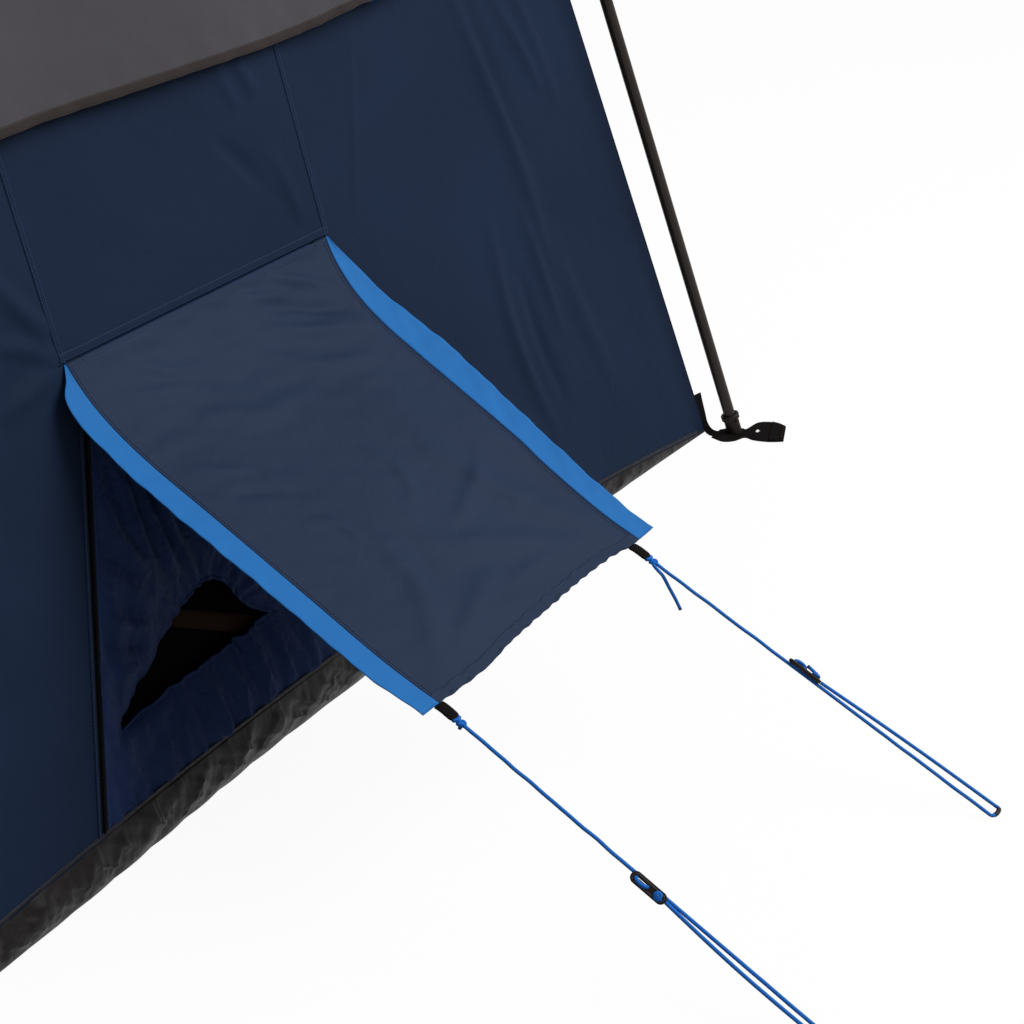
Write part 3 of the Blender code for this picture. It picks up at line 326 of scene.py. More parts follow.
def ribbon(path: Array, up: Array, width: Value, thickness: float, crown: float = 0.0) -> MeshData:
    """Band along a path: five points across, its middle raised by the crown as a parabola."""
    side, normal = frames_along(path, up)
    across = np.linspace(-1, 1, 5)
    half = np.broadcast_to(np.asarray(width, float) / 2, path.shape[:1])
    grid = path[:, None] + side[:, None] * (half[:, None] * across)[..., None]
    return cloth(grid + normal[:, None] * (crown * (1 - across ** 2))[None, :, None], thickness)


def even_turn(count: int) -> Array:
    """Angles spaced evenly round a full turn."""
    return np.linspace(0, tau, count, endpoint=False)


def circles(first: Array, second: Array, sides: int) -> Array:
    """Points round each place: the cosine of an even turn times one vector plus its sine times the other."""
    angle = even_turn(sides)[:, None]
    return first[..., None, :] * np.cos(angle) + second[..., None, :] * np.sin(angle)


def round_body(rings: Array, closed: bool = False) -> MeshData:
    """Body over rings of points; closed, its last ring joins its first, or else it has two flat caps."""
    count, sides = rings.shape[:2]
    points = rings.reshape(-1, 3)
    if closed:
        return points, (grid_faces(count + 1, sides, True) % len(points)).tolist()
    caps = [list(range(sides))[::-1], list(range(len(points) - sides, len(points)))]
    return points, grid_faces(count, sides, True).tolist() + caps


def tube(path: Array, radius: float, up: Array, sides: int = 8) -> MeshData:
    """Round cord: a circle at each point of the path, square to it."""
    return round_body(path[:, None] + circles(*frames_along(path, up), sides) * radius)


def loop_tube(path: Array, radius: float, centre: Array, sides: int = 10) -> MeshData:
    """Round cord that closes on itself: each circle lies square to the path and faces away from the centre."""
    tangent = unit(np.roll(path, -1, axis=0) - np.roll(path, 1, axis=0))
    first = unit(np.cross(tangent, path - centre))
    return round_body(path[:, None] + circles(first, np.cross(tangent, first), sides) * radius, True)


def lathe(profile: Iterable, base: Array, axis: Array, sides: int = 24, hollow: bool = False) -> MeshData:
    """Body of revolution: each (distance along the axis, radius) of a profile, in mm, turned round the axis.

    A solid one has a flat cap at each end; a hollow one's last ring is joined to its first.
    """
    axis = unit(np.asarray(axis, float))
    helper = np.array([0.0, 0.0, 1.0]) if abs(axis[2]) < 0.9 else np.array([1.0, 0.0, 0.0])
    first = unit(np.cross(axis, helper))
    along, radius = (np.array(profile, float) / 1000).T[..., None, None]
    return round_body(base + axis * along + circles(first, np.cross(axis, first), sides) * radius, hollow)


def bars(centres: Array, along: Array, up: Array, size: Size) -> MeshData:
    """Small blocks with narrowed tops, one at each centre, for stitches and zip teeth."""
    side = unit(np.cross(along, np.asarray(up, float)))
    corner = np.array([(i, j, k) for i in (-1, 1) for j in (-1, 1) for k in (-1, 1)], float) / 2
    corner[corner[:, 2] > 0, :2] *= 0.7
    corner *= np.array(size)
    axes = np.stack([along, side, np.cross(side, along)], axis=1)
    points = (centres[:, None] + np.einsum("ck,nkd->ncd", corner, axes)).reshape(-1, 3)
    box = np.array([(0, 1, 3, 2), (4, 6, 7, 5), (0, 4, 5, 1), (2, 3, 7, 6), (0, 2, 6, 4), (1, 5, 7, 3)])
    return points, (np.arange(len(centres))[:, None, None] * 8 + box).reshape(-1, 4).tolist()


def spaced(path: Array, spacing: float) -> tuple[Array, Array]:
    """Points a given distance apart along a path, by linear interpolation on its length, and tangents."""
    length = run_along(path)
    marks = np.arange(spacing / 2, length[-1], spacing)
    points, ahead, behind = (np.stack([np.interp(marks + step, length, path[:, k]) for k in range(3)], axis=-1)
                             for step in (0, spacing / 4, -spacing / 4))
    return points, unit(ahead - behind)


def joined(parts: Iterable[MeshData]) -> MeshData:
    """Several bodies as one mesh, each turned outward first."""
    all_points: list[Array] = []
    all_faces: list[list[int]] = []
    base = 0
    for points, faces in parts:
        all_faces += [[i + base for i in face] for face in outward_faces(points, faces)]
        all_points.append(points)
        base += len(points)
    return np.concatenate(all_points), all_faces


def curve_through(points: Iterable[Iterable[float]], count: int) -> Array:
    """Smooth line through points: a Catmull-Rom spline sampled evenly in its parameter."""
    key = np.array([list(p) for p in points], float)
    padded = np.concatenate([2 * key[:1] - key[1:2], key, 2 * key[-1:] - key[-2:-1]])
    t = np.linspace(0, len(key) - 1 - 1e-9, count)
    i = t.astype(int)
    f = (t - i)[:, None]
    a, b, c, d = (padded[i + k] for k in range(4))
    return 0.5 * (2 * b + (c - a) * f + (2 * a - 5 * b + 4 * c - d) * f ** 2 + (3 * b - a - 3 * c + d) * f ** 3)


def points_of(line: Line) -> Array:
    """Points of a line's table, in metres."""
    return np.reshape(line, (-1, 2)) / 10000


# Finishes
def linear(hex_colour: str) -> tuple[float, float, float, float]:
    """Linear colour from an sRGB hex string, by the sRGB curve."""
    values = [int(hex_colour[i:i + 2], 16) / 255 for i in (0, 2, 4)]
    red, green, blue = (v / 12.92 if v <= 0.04045 else ((v + 0.055) / 1.055) ** 2.4 for v in values)
    return red, green, blue, 1.0


def add_node(tree: Tree, kind: str, inputs: dict | None = None, **settings: object) -> bpy.types.Node:
    """Add a node with its settings and links.

    Args:
        tree: the material's node tree.
        kind: the node's type, less its first word ShaderNode.
        inputs: value or linked output socket of each input, by name or number.
        settings: the node's own settings.

    Returns:
        The node.
    """
    node = tree.nodes.new("ShaderNode" + kind)
    for key, value in settings.items():
        setattr(node, key, value)
    for key, value in (inputs or {}).items():
        if isinstance(value, Socket):
            tree.links.new(value, node.inputs[key])
        else:
            node.inputs[key].default_value = value
    return node


MADE: dict[str, bpy.types.Material] = {}
Sockets = dict[str, Socket]
WHITE = (1.0, 1.0, 1.0, 1.0)
# A wave texture of scale 1 has bands this many metres apart
BANDS = 0.314


@dataclass(frozen=True)
class Finish:
    """A finish with its name, a slot name and its shader's plain values."""

    name: str
    slot: str
    colour: str
    shade: str
    roughness: float = 0.7
    metallic: float = 0.0
    specular: float = 0.05

    def material(self) -> bpy.types.Material:
        """The finish's material, made once."""
        if self.name not in MADE:
            material = bpy.data.materials.new(self.name)
            material.use_nodes = True
            material.diffuse_color = linear(self.colour)
            tree = material.node_tree
            shader = tree.nodes["Principled BSDF"]
            for key, value in (("Base Color", linear(self.colour)), ("Roughness", self.roughness),
                               ("Metallic", self.metallic), ("Specular IOR Level", self.specular)):
                shader.inputs[key].default_value = value
            for key, socket in self.dress(tree).items():
                tree.links.new(socket, shader.inputs[key])
            MADE[self.name] = material
        return MADE[self.name]

    def dress(self, tree: Tree) -> Sockets:
        """Lay the finish's pattern, of its own kind, and give what it links to the shader's inputs."""
        return {}

    def skin(self, tree: Tree, share: Socket, relief: dict) -> Sockets:
        """Colour mixed toward its shade by a share, and relief from a height, as the shader takes them."""
        mix = add_node(tree, "Mix", {0: share, 6: linear(self.colour), 7: linear(self.shade)}, data_type="RGBA")
        bump = add_node(tree, "Bump", relief)
        return {"Base Color": mix.outputs[2], "Normal": bump.outputs["Normal"]}


@dataclass(frozen=True)
class Woven(Finish):
    """Threads that cross on a UV map in metres."""

    def bands(self, tree: Tree, across_mm: float, along_mm: float, operation: str = "MULTIPLY" ) -> tuple[Socket, ...]:
        """Two sine bands of given pitch, across the map and along it, joined by an operation.

        Args:
            tree: the material's node tree.
            across_mm: pitch across the map.
            along_mm: pitch along it.
            operation: how the two are joined.

        Returns:
            The map, the band along it and the joined height.
        """
        uv = add_node(tree, "TexCoord").outputs["UV"]
        warp, weft = (add_node(tree, "TexWave", {"Vector": uv, "Scale": BANDS / (pitch / 1000)},
                               bands_direction=way).outputs["Fac"]
                      for way, pitch in (("X", across_mm), ("Y", along_mm)))
        return uv, weft, add_node(tree, "Math", {0: warp, 1: weft}, operation=operation).outputs["Value"]


@dataclass(frozen=True)
class Cloth(Woven):
    """Woven cloth.

    The real threads are about 0.25 mm apart, too fine to show, so they are drawn at thread_mm. Crinkles
    are the soft creases that coated cloth keeps from being packed.
    """

    thread_mm: float = 1.1
    weave: float = 0.15
    crinkle_mm: float = 38.0
    crinkle: float = 0.35

    def dress(self, tree: Tree) -> Sockets:
        """Warp and weft as two sine bands multiplied, crinkles as ridged noise, tones by broad noise."""
        uv, _, threads = self.bands(tree, self.thread_mm, self.thread_mm)
        creases = add_node(tree, "TexNoise", {"Vector": uv, "Scale": 1000 / self.crinkle_mm, "Detail": 4.0,
                                              "Roughness": 0.5, "Distortion": 0.6})
        broad = add_node(tree, "TexNoise", {"Vector": uv, "Scale": 3.0, "Detail": 3.0})
        share = add_node(tree, "MapRange", {"Value": broad.outputs["Fac"], "From Min": 0.35, "From Max": 0.65,
                                            "To Min": 0.15, "To Max": 0.6})
        crumple = add_node(tree, "Bump", {"Height": creases.outputs["Fac"], "Strength": self.crinkle,
                                          "Distance": 0.004})
        return self.skin(tree, share.outputs["Result"], {"Height": threads, "Strength": self.weave,
                                                         "Distance": 0.0002, "Normal": crumple.outputs["Normal"]})


@dataclass(frozen=True)
class Webbing(Woven):
    """Woven polyester tape: cross ribs 1.3 mm apart along its length."""

    def dress(self, tree: Tree) -> Sockets:
        """Ribs as a sine band along the UV map's length, crossed by finer warp bands."""
        _, ribs, height = self.bands(tree, 0.9, 1.3, "ADD")
        return self.skin(tree, ribs, {"Height": height, "Strength": 0.5, "Distance": 0.0003})


@dataclass(frozen=True)
class Netting(Woven):
    """Fine knitted netting. Its holes, about 0.8 mm, are finer than the render shows, so it is evenly thin."""

    opacity: float = 0.9

    def dress(self, tree: Tree) -> Sockets:
        """Holes as two crossed bands in the bump; the shader's alpha lets some of what lies behind through."""
        holes = self.bands(tree, 1.6, 1.6)[2]
        tree.nodes["Principled BSDF"].inputs["Alpha"].default_value = self.opacity
        return self.skin(tree, holes, {"Height": holes, "Strength": 0.4, "Distance": 0.0004})


@dataclass(frozen=True)
class Braid(Finish):
    """Braided cord on a UV map in metres: strands that cross at a slant, 2 mm apart, as real 5 mm cord has."""

    def dress(self, tree: Tree) -> Sockets:
        """Two slanted sine bands, one each way round the cord, multiplied into a row of diamonds; the colour darkens
        between the strands as painted shade.
        """
        uv = add_node(tree, "TexCoord").outputs["UV"]
        slants = []
        for turn in (0.9, -0.9):
            turned = add_node(tree, "Mapping", {"Vector": uv, "Rotation": (0, 0, turn)})
            slants.append(add_node(tree, "TexWave", {"Vector": turned.outputs["Vector"], "Scale": BANDS / 0.002}))
        strands = add_node(tree, "Math", {k: band.outputs["Fac"] for k, band in enumerate(slants)},
                           operation="MULTIPLY").outputs["Value"]
        # Colour darkened where the strands dip: painted shade in the grooves between them
        dark = add_node(tree, "Math", {0: 1.0, 1: strands}, operation="SUBTRACT")
        return self.skin(tree, dark.outputs["Value"], {"Height": strands, "Strength": 0.7, "Distance": 0.0004})


@dataclass(frozen=True)
class Coated(Finish):
    """Powder coat, moulded plastic or blackened zinc: an even skin with grain of a given size."""

    grain_mm: float = 1.2
    grain: float = 0.12
    wear: float = 0.25

    def dress(self, tree: Tree) -> Sockets:
        """Grain as fine noise in the bump, rubbed patches as broad noise in colour and roughness."""
        place = add_node(tree, "TexCoord").outputs["Object"]
        grain = add_node(tree, "TexNoise", {"Vector": place, "Scale": 1000 / self.grain_mm, "Detail": 2.0})
        broad = add_node(tree, "TexNoise", {"Vector": place, "Scale": 22.0, "Detail": 4.0}).outputs["Fac"]
        share = add_node(tree, "MapRange", {"Value": broad, "From Min": 0.4, "From Max": 0.75, "To Min": 0.0,
                                            "To Max": self.wear})
        rough = add_node(tree, "MapRange", {"Value": broad, "To Min": self.roughness - 0.08,
                                            "To Max": self.roughness + 0.08})
        return {"Roughness": rough.outputs["Result"],
                **self.skin(tree, share.outputs["Result"], {"Height": grain.outputs["Fac"], "Strength": self.grain,
                                                            "Distance": 0.0002})}


# Polyester taffeta with a water-repellent coating
NAVY = Cloth("navy_taffeta", "navy_polyester", "1d2b43", "172337", roughness=0.62)
# The awning's cloth: the walls' navy painted paler, as painted light for the stronger light on its upturned face
NAVY_PAINTED_LIT = Cloth("navy_taffeta_painted_lit", "navy_polyester", "27354d", "212d43", roughness=0.6, crinkle=0.5,
                    specular=0.08)
# The vent's cloth is thinner and uncoated, so it creases more; its violet tone is painted light, the walls' navy tinted
# to look as it does in the shade under the awning
NAVY_THIN_PAINTED_VIOLET = Cloth("navy_thin_taffeta_painted_violet", "navy_polyester", "273760", "1d2c4d", roughness=0.55, crinkle_mm=16.0,
                  crinkle=1.0)
BRIGHT_BLUE = Cloth("bright_blue_taffeta", "bright_blue_polyester", "2c72b7", "286aac", roughness=0.6, crinkle=0.2)
# The fly's cloth has a thick coating inside, which makes it hang in broad smooth waves
GREY = Cloth("grey_coated_taffeta", "grey_polyester", "555357", "4c4a4e", roughness=0.6, crinkle=0.25)
GREY_HEM = Cloth("grey_hem_taffeta", "grey_polyester", "3e3837", "363130", roughness=0.6, crinkle=0.2)
# Woven polyethylene sheet, coated both sides: waxy, with sharp small creases
TARPAULIN = Cloth("dark_tarpaulin", "dark_grey_tarpaulin", "1d1919", "13100f", roughness=0.45, thread_mm=2.0,
                  weave=0.4, crinkle_mm=26.0, crinkle=1.0, specular=0.16)
BLACK_NET = Netting("black_knitted_netting", "black_netting", "0c0b0b", "161414", roughness=0.85)
BLACK_TAPE = Webbing("black_woven_tape", "black_webbing", "191615", "100e0d", roughness=0.75)
ZIP_TAPE = Webbing("black_zip_tape", "black_webbing", "09090b", "050506", roughness=0.7)
BROWN_TAPE = Webbing("brown_woven_tape", "black_webbing", "2c1c16", "22150f", roughness=0.8)
# Steel tube, powder coated a dark bronze
STEEL = Coated("bronze_powder_coat", "painted_steel", "28211c", "312822", roughness=0.4, grain_mm=1.6, grain=0.2,
               specular=0.25)
# Glass-filled nylon, moulded
PLASTIC = Coated("black_moulded_nylon", "black_plastic", "211c19", "2d2723", roughness=0.45, specular=0.2)
# Zinc slider, blackened
SLIDER = Coated("blackened_zinc", "blackened_slider", "1b1a1c", "2c2a2c", roughness=0.35, metallic=0.6, grain=0.05)
PLASTIC_WORN = Coated("rubbed_moulded_nylon", "black_plastic", "423a35", "4d443e", roughness=0.4, specular=0.3)
CORD_CORE = Braid("pale_cord_core", "bright_blue_cord", "7fa3d6", "5f88c4", roughness=0.7)
CORD_BLUE = Braid("bright_blue_braid", "bright_blue_cord", "3381dc", "266dc6", roughness=0.65)
# Bonded nylon thread, half a millimetre thick
NAVY_THREAD = Coated("navy_thread", "navy_polyester", "46557a", "3a4868", roughness=0.6, grain=0.0)
GREY_THREAD = Coated("grey_thread", "grey_polyester", "5f5a59", "524d4c", roughness=0.6, grain=0.0)
BLUE_THREAD = Coated("blue_thread", "bright_blue_polyester", "2459a6", "2459a6", roughness=0.6, grain=0.0)


def new_object(name: str, data: bpy.types.ID) -> Piece:
    """Object of given data, put in the scene."""
    item = bpy.data.objects.new(name, data)
    bpy.context.scene.collection.objects.link(item)
    return item


def make_piece(name: str, data: MeshData, finish: Finish, body: str = "tent", uv: Array | None = None,
               sharp: float | None = None, node: str | None = None) -> Piece:
    """Put a mesh in the scene as one finished piece.

    Args:
        name: the piece's name.
        data: points in the part's frame, and faces.
        finish: its finish.
        body: the CAD body that it rides on.
        uv: a place in metres for each point, or none where the pattern needs no map.
        sharp: angle in degrees above which edges stay sharp, or none for a smooth piece.
        node: the part's node that it replaces, or none.

    Returns:
        The object.
    """
    points, faces = data
    faces = outward_faces(points, faces)
    mesh = bpy.data.meshes.new(name)
    mesh.from_pydata(points.tolist(), [], faces)
    if uv is not None:
        layer = mesh.uv_layers.new(name="metres")
        index = np.empty(len(mesh.loops), np.int32)
        mesh.loops.foreach_get("vertex_index", index)
        layer.data.foreach_set("uv", uv[index].astype(np.float32).ravel())
    mesh.shade_smooth()
    if sharp is not None:
        mesh.set_sharp_from_angle(angle=radians(sharp))
    mesh.materials.append(finish.material())
    piece = new_object(name, mesh)
    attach(piece, body)
    if node:
        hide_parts(node)
    LOG.info("%s: %d faces on %s", name, len(faces), body)
    return piece


def length_map(across: Array, up: Array) -> Array:
    """UV map of a grid whose columns lie at the places across and rows at the places up, in metres."""
    return np.stack(np.broadcast_arrays(across[None, :], up[:, None]), axis=-1).reshape(-1, 2)


def grid_map(grid: Array) -> Array:
    """UV map of a grid: distance along its middle row and up its middle column."""
    rows, columns = grid.shape[:2]
    return length_map(run_along(grid[rows // 2]), run_along(grid[:, columns // 2]))


def cloth_piece(name: str, grid: Array, finish: Finish, body: str = "tent", thickness: float = CLOTH_T,
                uv: Array | None = None, round_columns: bool = False, keep: Array | None = None,
                node: str | None = None) -> Piece:
    """Cloth over a grid, with its map of lengths on both layers."""
    flat = grid_map(grid) if uv is None else uv
    flat = np.concatenate([flat, flat])
    points, faces = cloth(grid, thickness, round_columns, keep)
    if keep is not None:
        used, index = np.unique(np.array(faces), return_inverse=True)
        points, flat, faces = points[used], flat[used], index.reshape(-1, 4).tolist()
    return make_piece(name, (points, faces), finish, body, flat, node=node)


def sheet_piece(name: str, grid: Array, finish: Finish, held: str, rests_on: list[str], **options: object) -> Piece:
    """Cloth piece over a grid, made as cloth_piece makes it."""
    piece = cloth_piece(name, grid, finish, **options)
    return piece


def band_piece(name: str, path: Array, up: Array, width: Value, thickness: float, finish: Finish,
               body: str = "tent", crown: float = 0.0, node: str | None = None) -> Piece:
    """Ribbon along a path, with its own length on its map's second axis."""
    half = np.broadcast_to(np.asarray(width, float) / 2, path.shape[:1])
    flat = np.stack([half[:, None] * np.linspace(-1, 1, 5), np.repeat(run_along(path)[:, None], 5, axis=1)], axis=-1)
    flat = np.concatenate([flat.reshape(-1, 2)] * 2)
    return make_piece(name, ribbon(path, up, width, thickness, crown), finish, body, flat, node=node)


def cord_piece(name: str, path: Array, radius: float, up: Array, finish: Finish, body: str = "tent",
               sides: int = 10, node: str | None = None) -> Piece:
    """Cord along a path; its map runs round it and along its length."""
    flat = length_map(np.linspace(0, tau * radius, sides, endpoint=False), run_along(path))
    return make_piece(name, tube(path, radius, up, sides), finish, body, flat, node=node)


def stitch_piece(name: str, paths: Iterable[Array], up: Array, finish: Finish, body: str = "tent",
                 pitch: float = 0.0042, width: float = 0.0007) -> Piece:
    """Rows of stitches: a thread lies on the cloth for two thirds of each pitch."""
    rows = []
    for path in paths:
        centres, along = spaced(path, pitch)
        rows.append(bars(centres, along, up, (pitch * 0.66, width, width)))
    return make_piece(name, joined(rows), finish, body)


def wall_grid(side: Side, edges: tuple[Callable, Callable], low: Callable, high: float, shares: Array,
              columns: int, relief: Callable, jogs: tuple[Callable, Callable] | None = None) -> Array:
    """Grid over a wall panel: each row runs evenly from the left edge to the right one.

    Args:
        side: the wall.
        edges: the left and the right edge, as distance along the wall at a height.
        low: the lower edge, as height at a distance along the wall.
        high: height of the upper edge.
        shares: rows, as shares of the way from the lower edge to the upper one.
        columns: number of columns.
        relief: how far the cloth stands out at a place.
        jogs: steps of the left and the right edge, which only the columns near that edge follow.

    Returns:
        Points by row and column.
    """
    r = shares[:, None]
    c = np.linspace(0, 1, columns)[None, :]
    ends = []
    for edge in edges:
        start = low(edge(low(edge(0.0))))
        ends.append(edge(start + (high - start) * r))
    u = ends[0] * (1 - c) + ends[1] * c
    start = low(u[:1])
    z = start + (high - start) * r
    if jogs:
        u = u + jogs[0](z) * (1 - c) ** 12 + jogs[1](z) * c ** 12
    return on_wall(side, u, z, -relief(u, z))


@dataclass
class RightWall:
    """Right wall: two side panels, the panel over the vent, and their sewn seams."""

    cell: float = 0.0075
    slack: float = 0.0012
    seam_width: float = 0.011
    row_apart: float = 0.0065
    over_awning: float = 0.0085
    over_apart: float = 0.0042
    folds: tuple[Fold, ...] = (
        (483, 940, 421, 788, 364, 645, 6, 16), (740, 950, 783, 785, 824, 621, 850, 373, 14, 34),
        (770, 930, 812, 760, 850, 600, 12, -22), (840, 920, 909, 784, 947, 704, 11, 26),
        (905, 930, 950, 800, 985, 660, 12, 20), (707, 575, 690, 425, 709, 285, 760, 155, 11, 28),
        (796, 562, 812, 440, 835, 320, 10, 24), (750, 460, 765, 330, 800, 200, 10, -22),
        (860, 500, 905, 330, 960, 180, 16, 18), (91, 852, 105, 735, 147, 670, 13, 30),
        (194, 950, 205, 905, 225, 870, 9, 22), (150, 950, 162, 900, 176, 860, 8, 16),
        (68, 754, 55, 715, 46, 668, 7, 20), (93, 837, 157, 778, 182, 672, 12, -30),
        (215, 800, 235, 730, 245, 670, 9, 18), (-375, 800, -330, 730, -295, 690, 10, 30),
        (-400, 705, -350, 690, -292, 655, 8, 24), (-420, 620, -360, 635, -300, 648, 10, 26),
        (-560, 900, -530, 600, -520, 300, 30, 30), (-800, 950, -760, 600, -780, 250, 28, 28))

    def relief(self, u: Array, z: Array) -> Array:
        """How far the wall stands out: slack that fades at the corners and the tub, and its creases."""
        corner = wall_y(z) - np.abs(u)
        fade = smoothstep(corner, 0.0, 0.15) * smoothstep(z - tub_top(u, HALF_D), 0.0, 0.1)
        fade = fade * smoothstep(EAVE_Z - z, 0.0, 0.06)
        fade = fade * smoothstep(np.abs(u) - vent_half(z) + 0.6 * np.maximum(z - SEAM_Z, 0), 0.006, 0.05)
        slack = swells(u, z, 11, 0.26, self.slack, 5.0)
        return fade * (slack + folds_relief(u, z, self.folds, 1.35, 2.4))

    def line(self, u: Array, z: Array, lift: float) -> Array:
        """Points on the wall's outside, lifted off its cloth."""
        u, z = np.broadcast_arrays(np.asarray(u, float), np.asarray(z, float))
        return on_wall(Side.RIGHT, u, z, -self.relief(u, z) - lift)

    def build(self) -> None:
        """Cut the three panels and sew them."""
        def low(u: Array) -> Array:
            return tub_top(u, HALF_D) - 0.003

        def inner(z: Array) -> Array:
            return vent_half(np.minimum(z, SEAM_Z)) - 0.002

        def jog(z: Array) -> Array:
            return np.where(np.asarray(z) < SEAM_Z, 0.0, SEAM_HALF - inner(z))

        def none(z: Array) -> Array:
            return 0 * np.asarray(z)

        def outer(z: Array) -> Array:
            return wall_y(z) - CORNER_GAP

        foot = low(inner(0.07))
        turn = [(SEAM_Z + step - foot) / (EAVE_Z - foot) for step in (-0.0006, 0.0006)]
        shares = np.unique(np.concatenate([np.linspace(0, 1, round(EAVE_Z / self.cell)), turn]))
        count = round((HALF_D - SEAM_HALF) / self.cell)
        for name, edges, jogs in (("right_wall_front_panel", (lambda z: -outer(z), lambda z: -inner(z)),
                                   (none, lambda z: -jog(z))),
                                  ("right_wall_rear_panel", (inner, outer), (jog, none))):
            grid = wall_grid(Side.RIGHT, edges, low, EAVE_Z, shares, count, self.relief, jogs)
            sheet_piece("cloth_" + name, grid, NAVY, "stretched", ["tub_cloth"], node=name)
        rows = np.linspace(0, 1, round((EAVE_Z - SEAM_Z) / self.cell))
        grid = wall_grid(Side.RIGHT, (lambda z: -SEAM_HALF + 0 * z, lambda z: SEAM_HALF + 0 * z),
                         lambda u: SEAM_Z + 0 * np.asarray(u), EAVE_Z, rows, round(2 * SEAM_HALF / self.cell),
                         self.relief)
        sheet_piece("cloth_right_wall_upper_panel", grid, NAVY, "stretched", ["cloth_right_wall_front_panel"],
                    node="right_wall_upper_panel")
        self.sew()

    def sew(self) -> None:
        """Lapped seams with two rows of stitches beside and under the upper panel."""
        out = Side.RIGHT.outward
        high = np.linspace(SEAM_Z, EAVE_Z - 0.01, 140)
        across = np.linspace(-SEAM_HALF - 0.004, SEAM_HALF + 0.004, 120)
        rows = []
        for sign, name in ((-1, "front"), (1, "rear")):
            band_piece("seam_right_wall_" + name, self.line(sign * SEAM_HALF, high, 0.0008), out,
                       self.seam_width, 0.0008, NAVY, crown=0.0004)
            rows += [self.line(sign * SEAM_HALF + k * self.row_apart / 2, high, 0.0019) for k in (-1, 1)]
        seam_z = SEAM_Z + self.over_awning
        band_piece("seam_over_awning", self.line(across, seam_z, 0.0009), out, 0.013, 0.0009, NAVY, crown=0.0004)
        rows += [self.line(across, seam_z + k * self.over_apart, 0.0021) for k in (-1, 1)]
        stitch_piece("stitches_right_wall", rows, out, NAVY_THREAD)


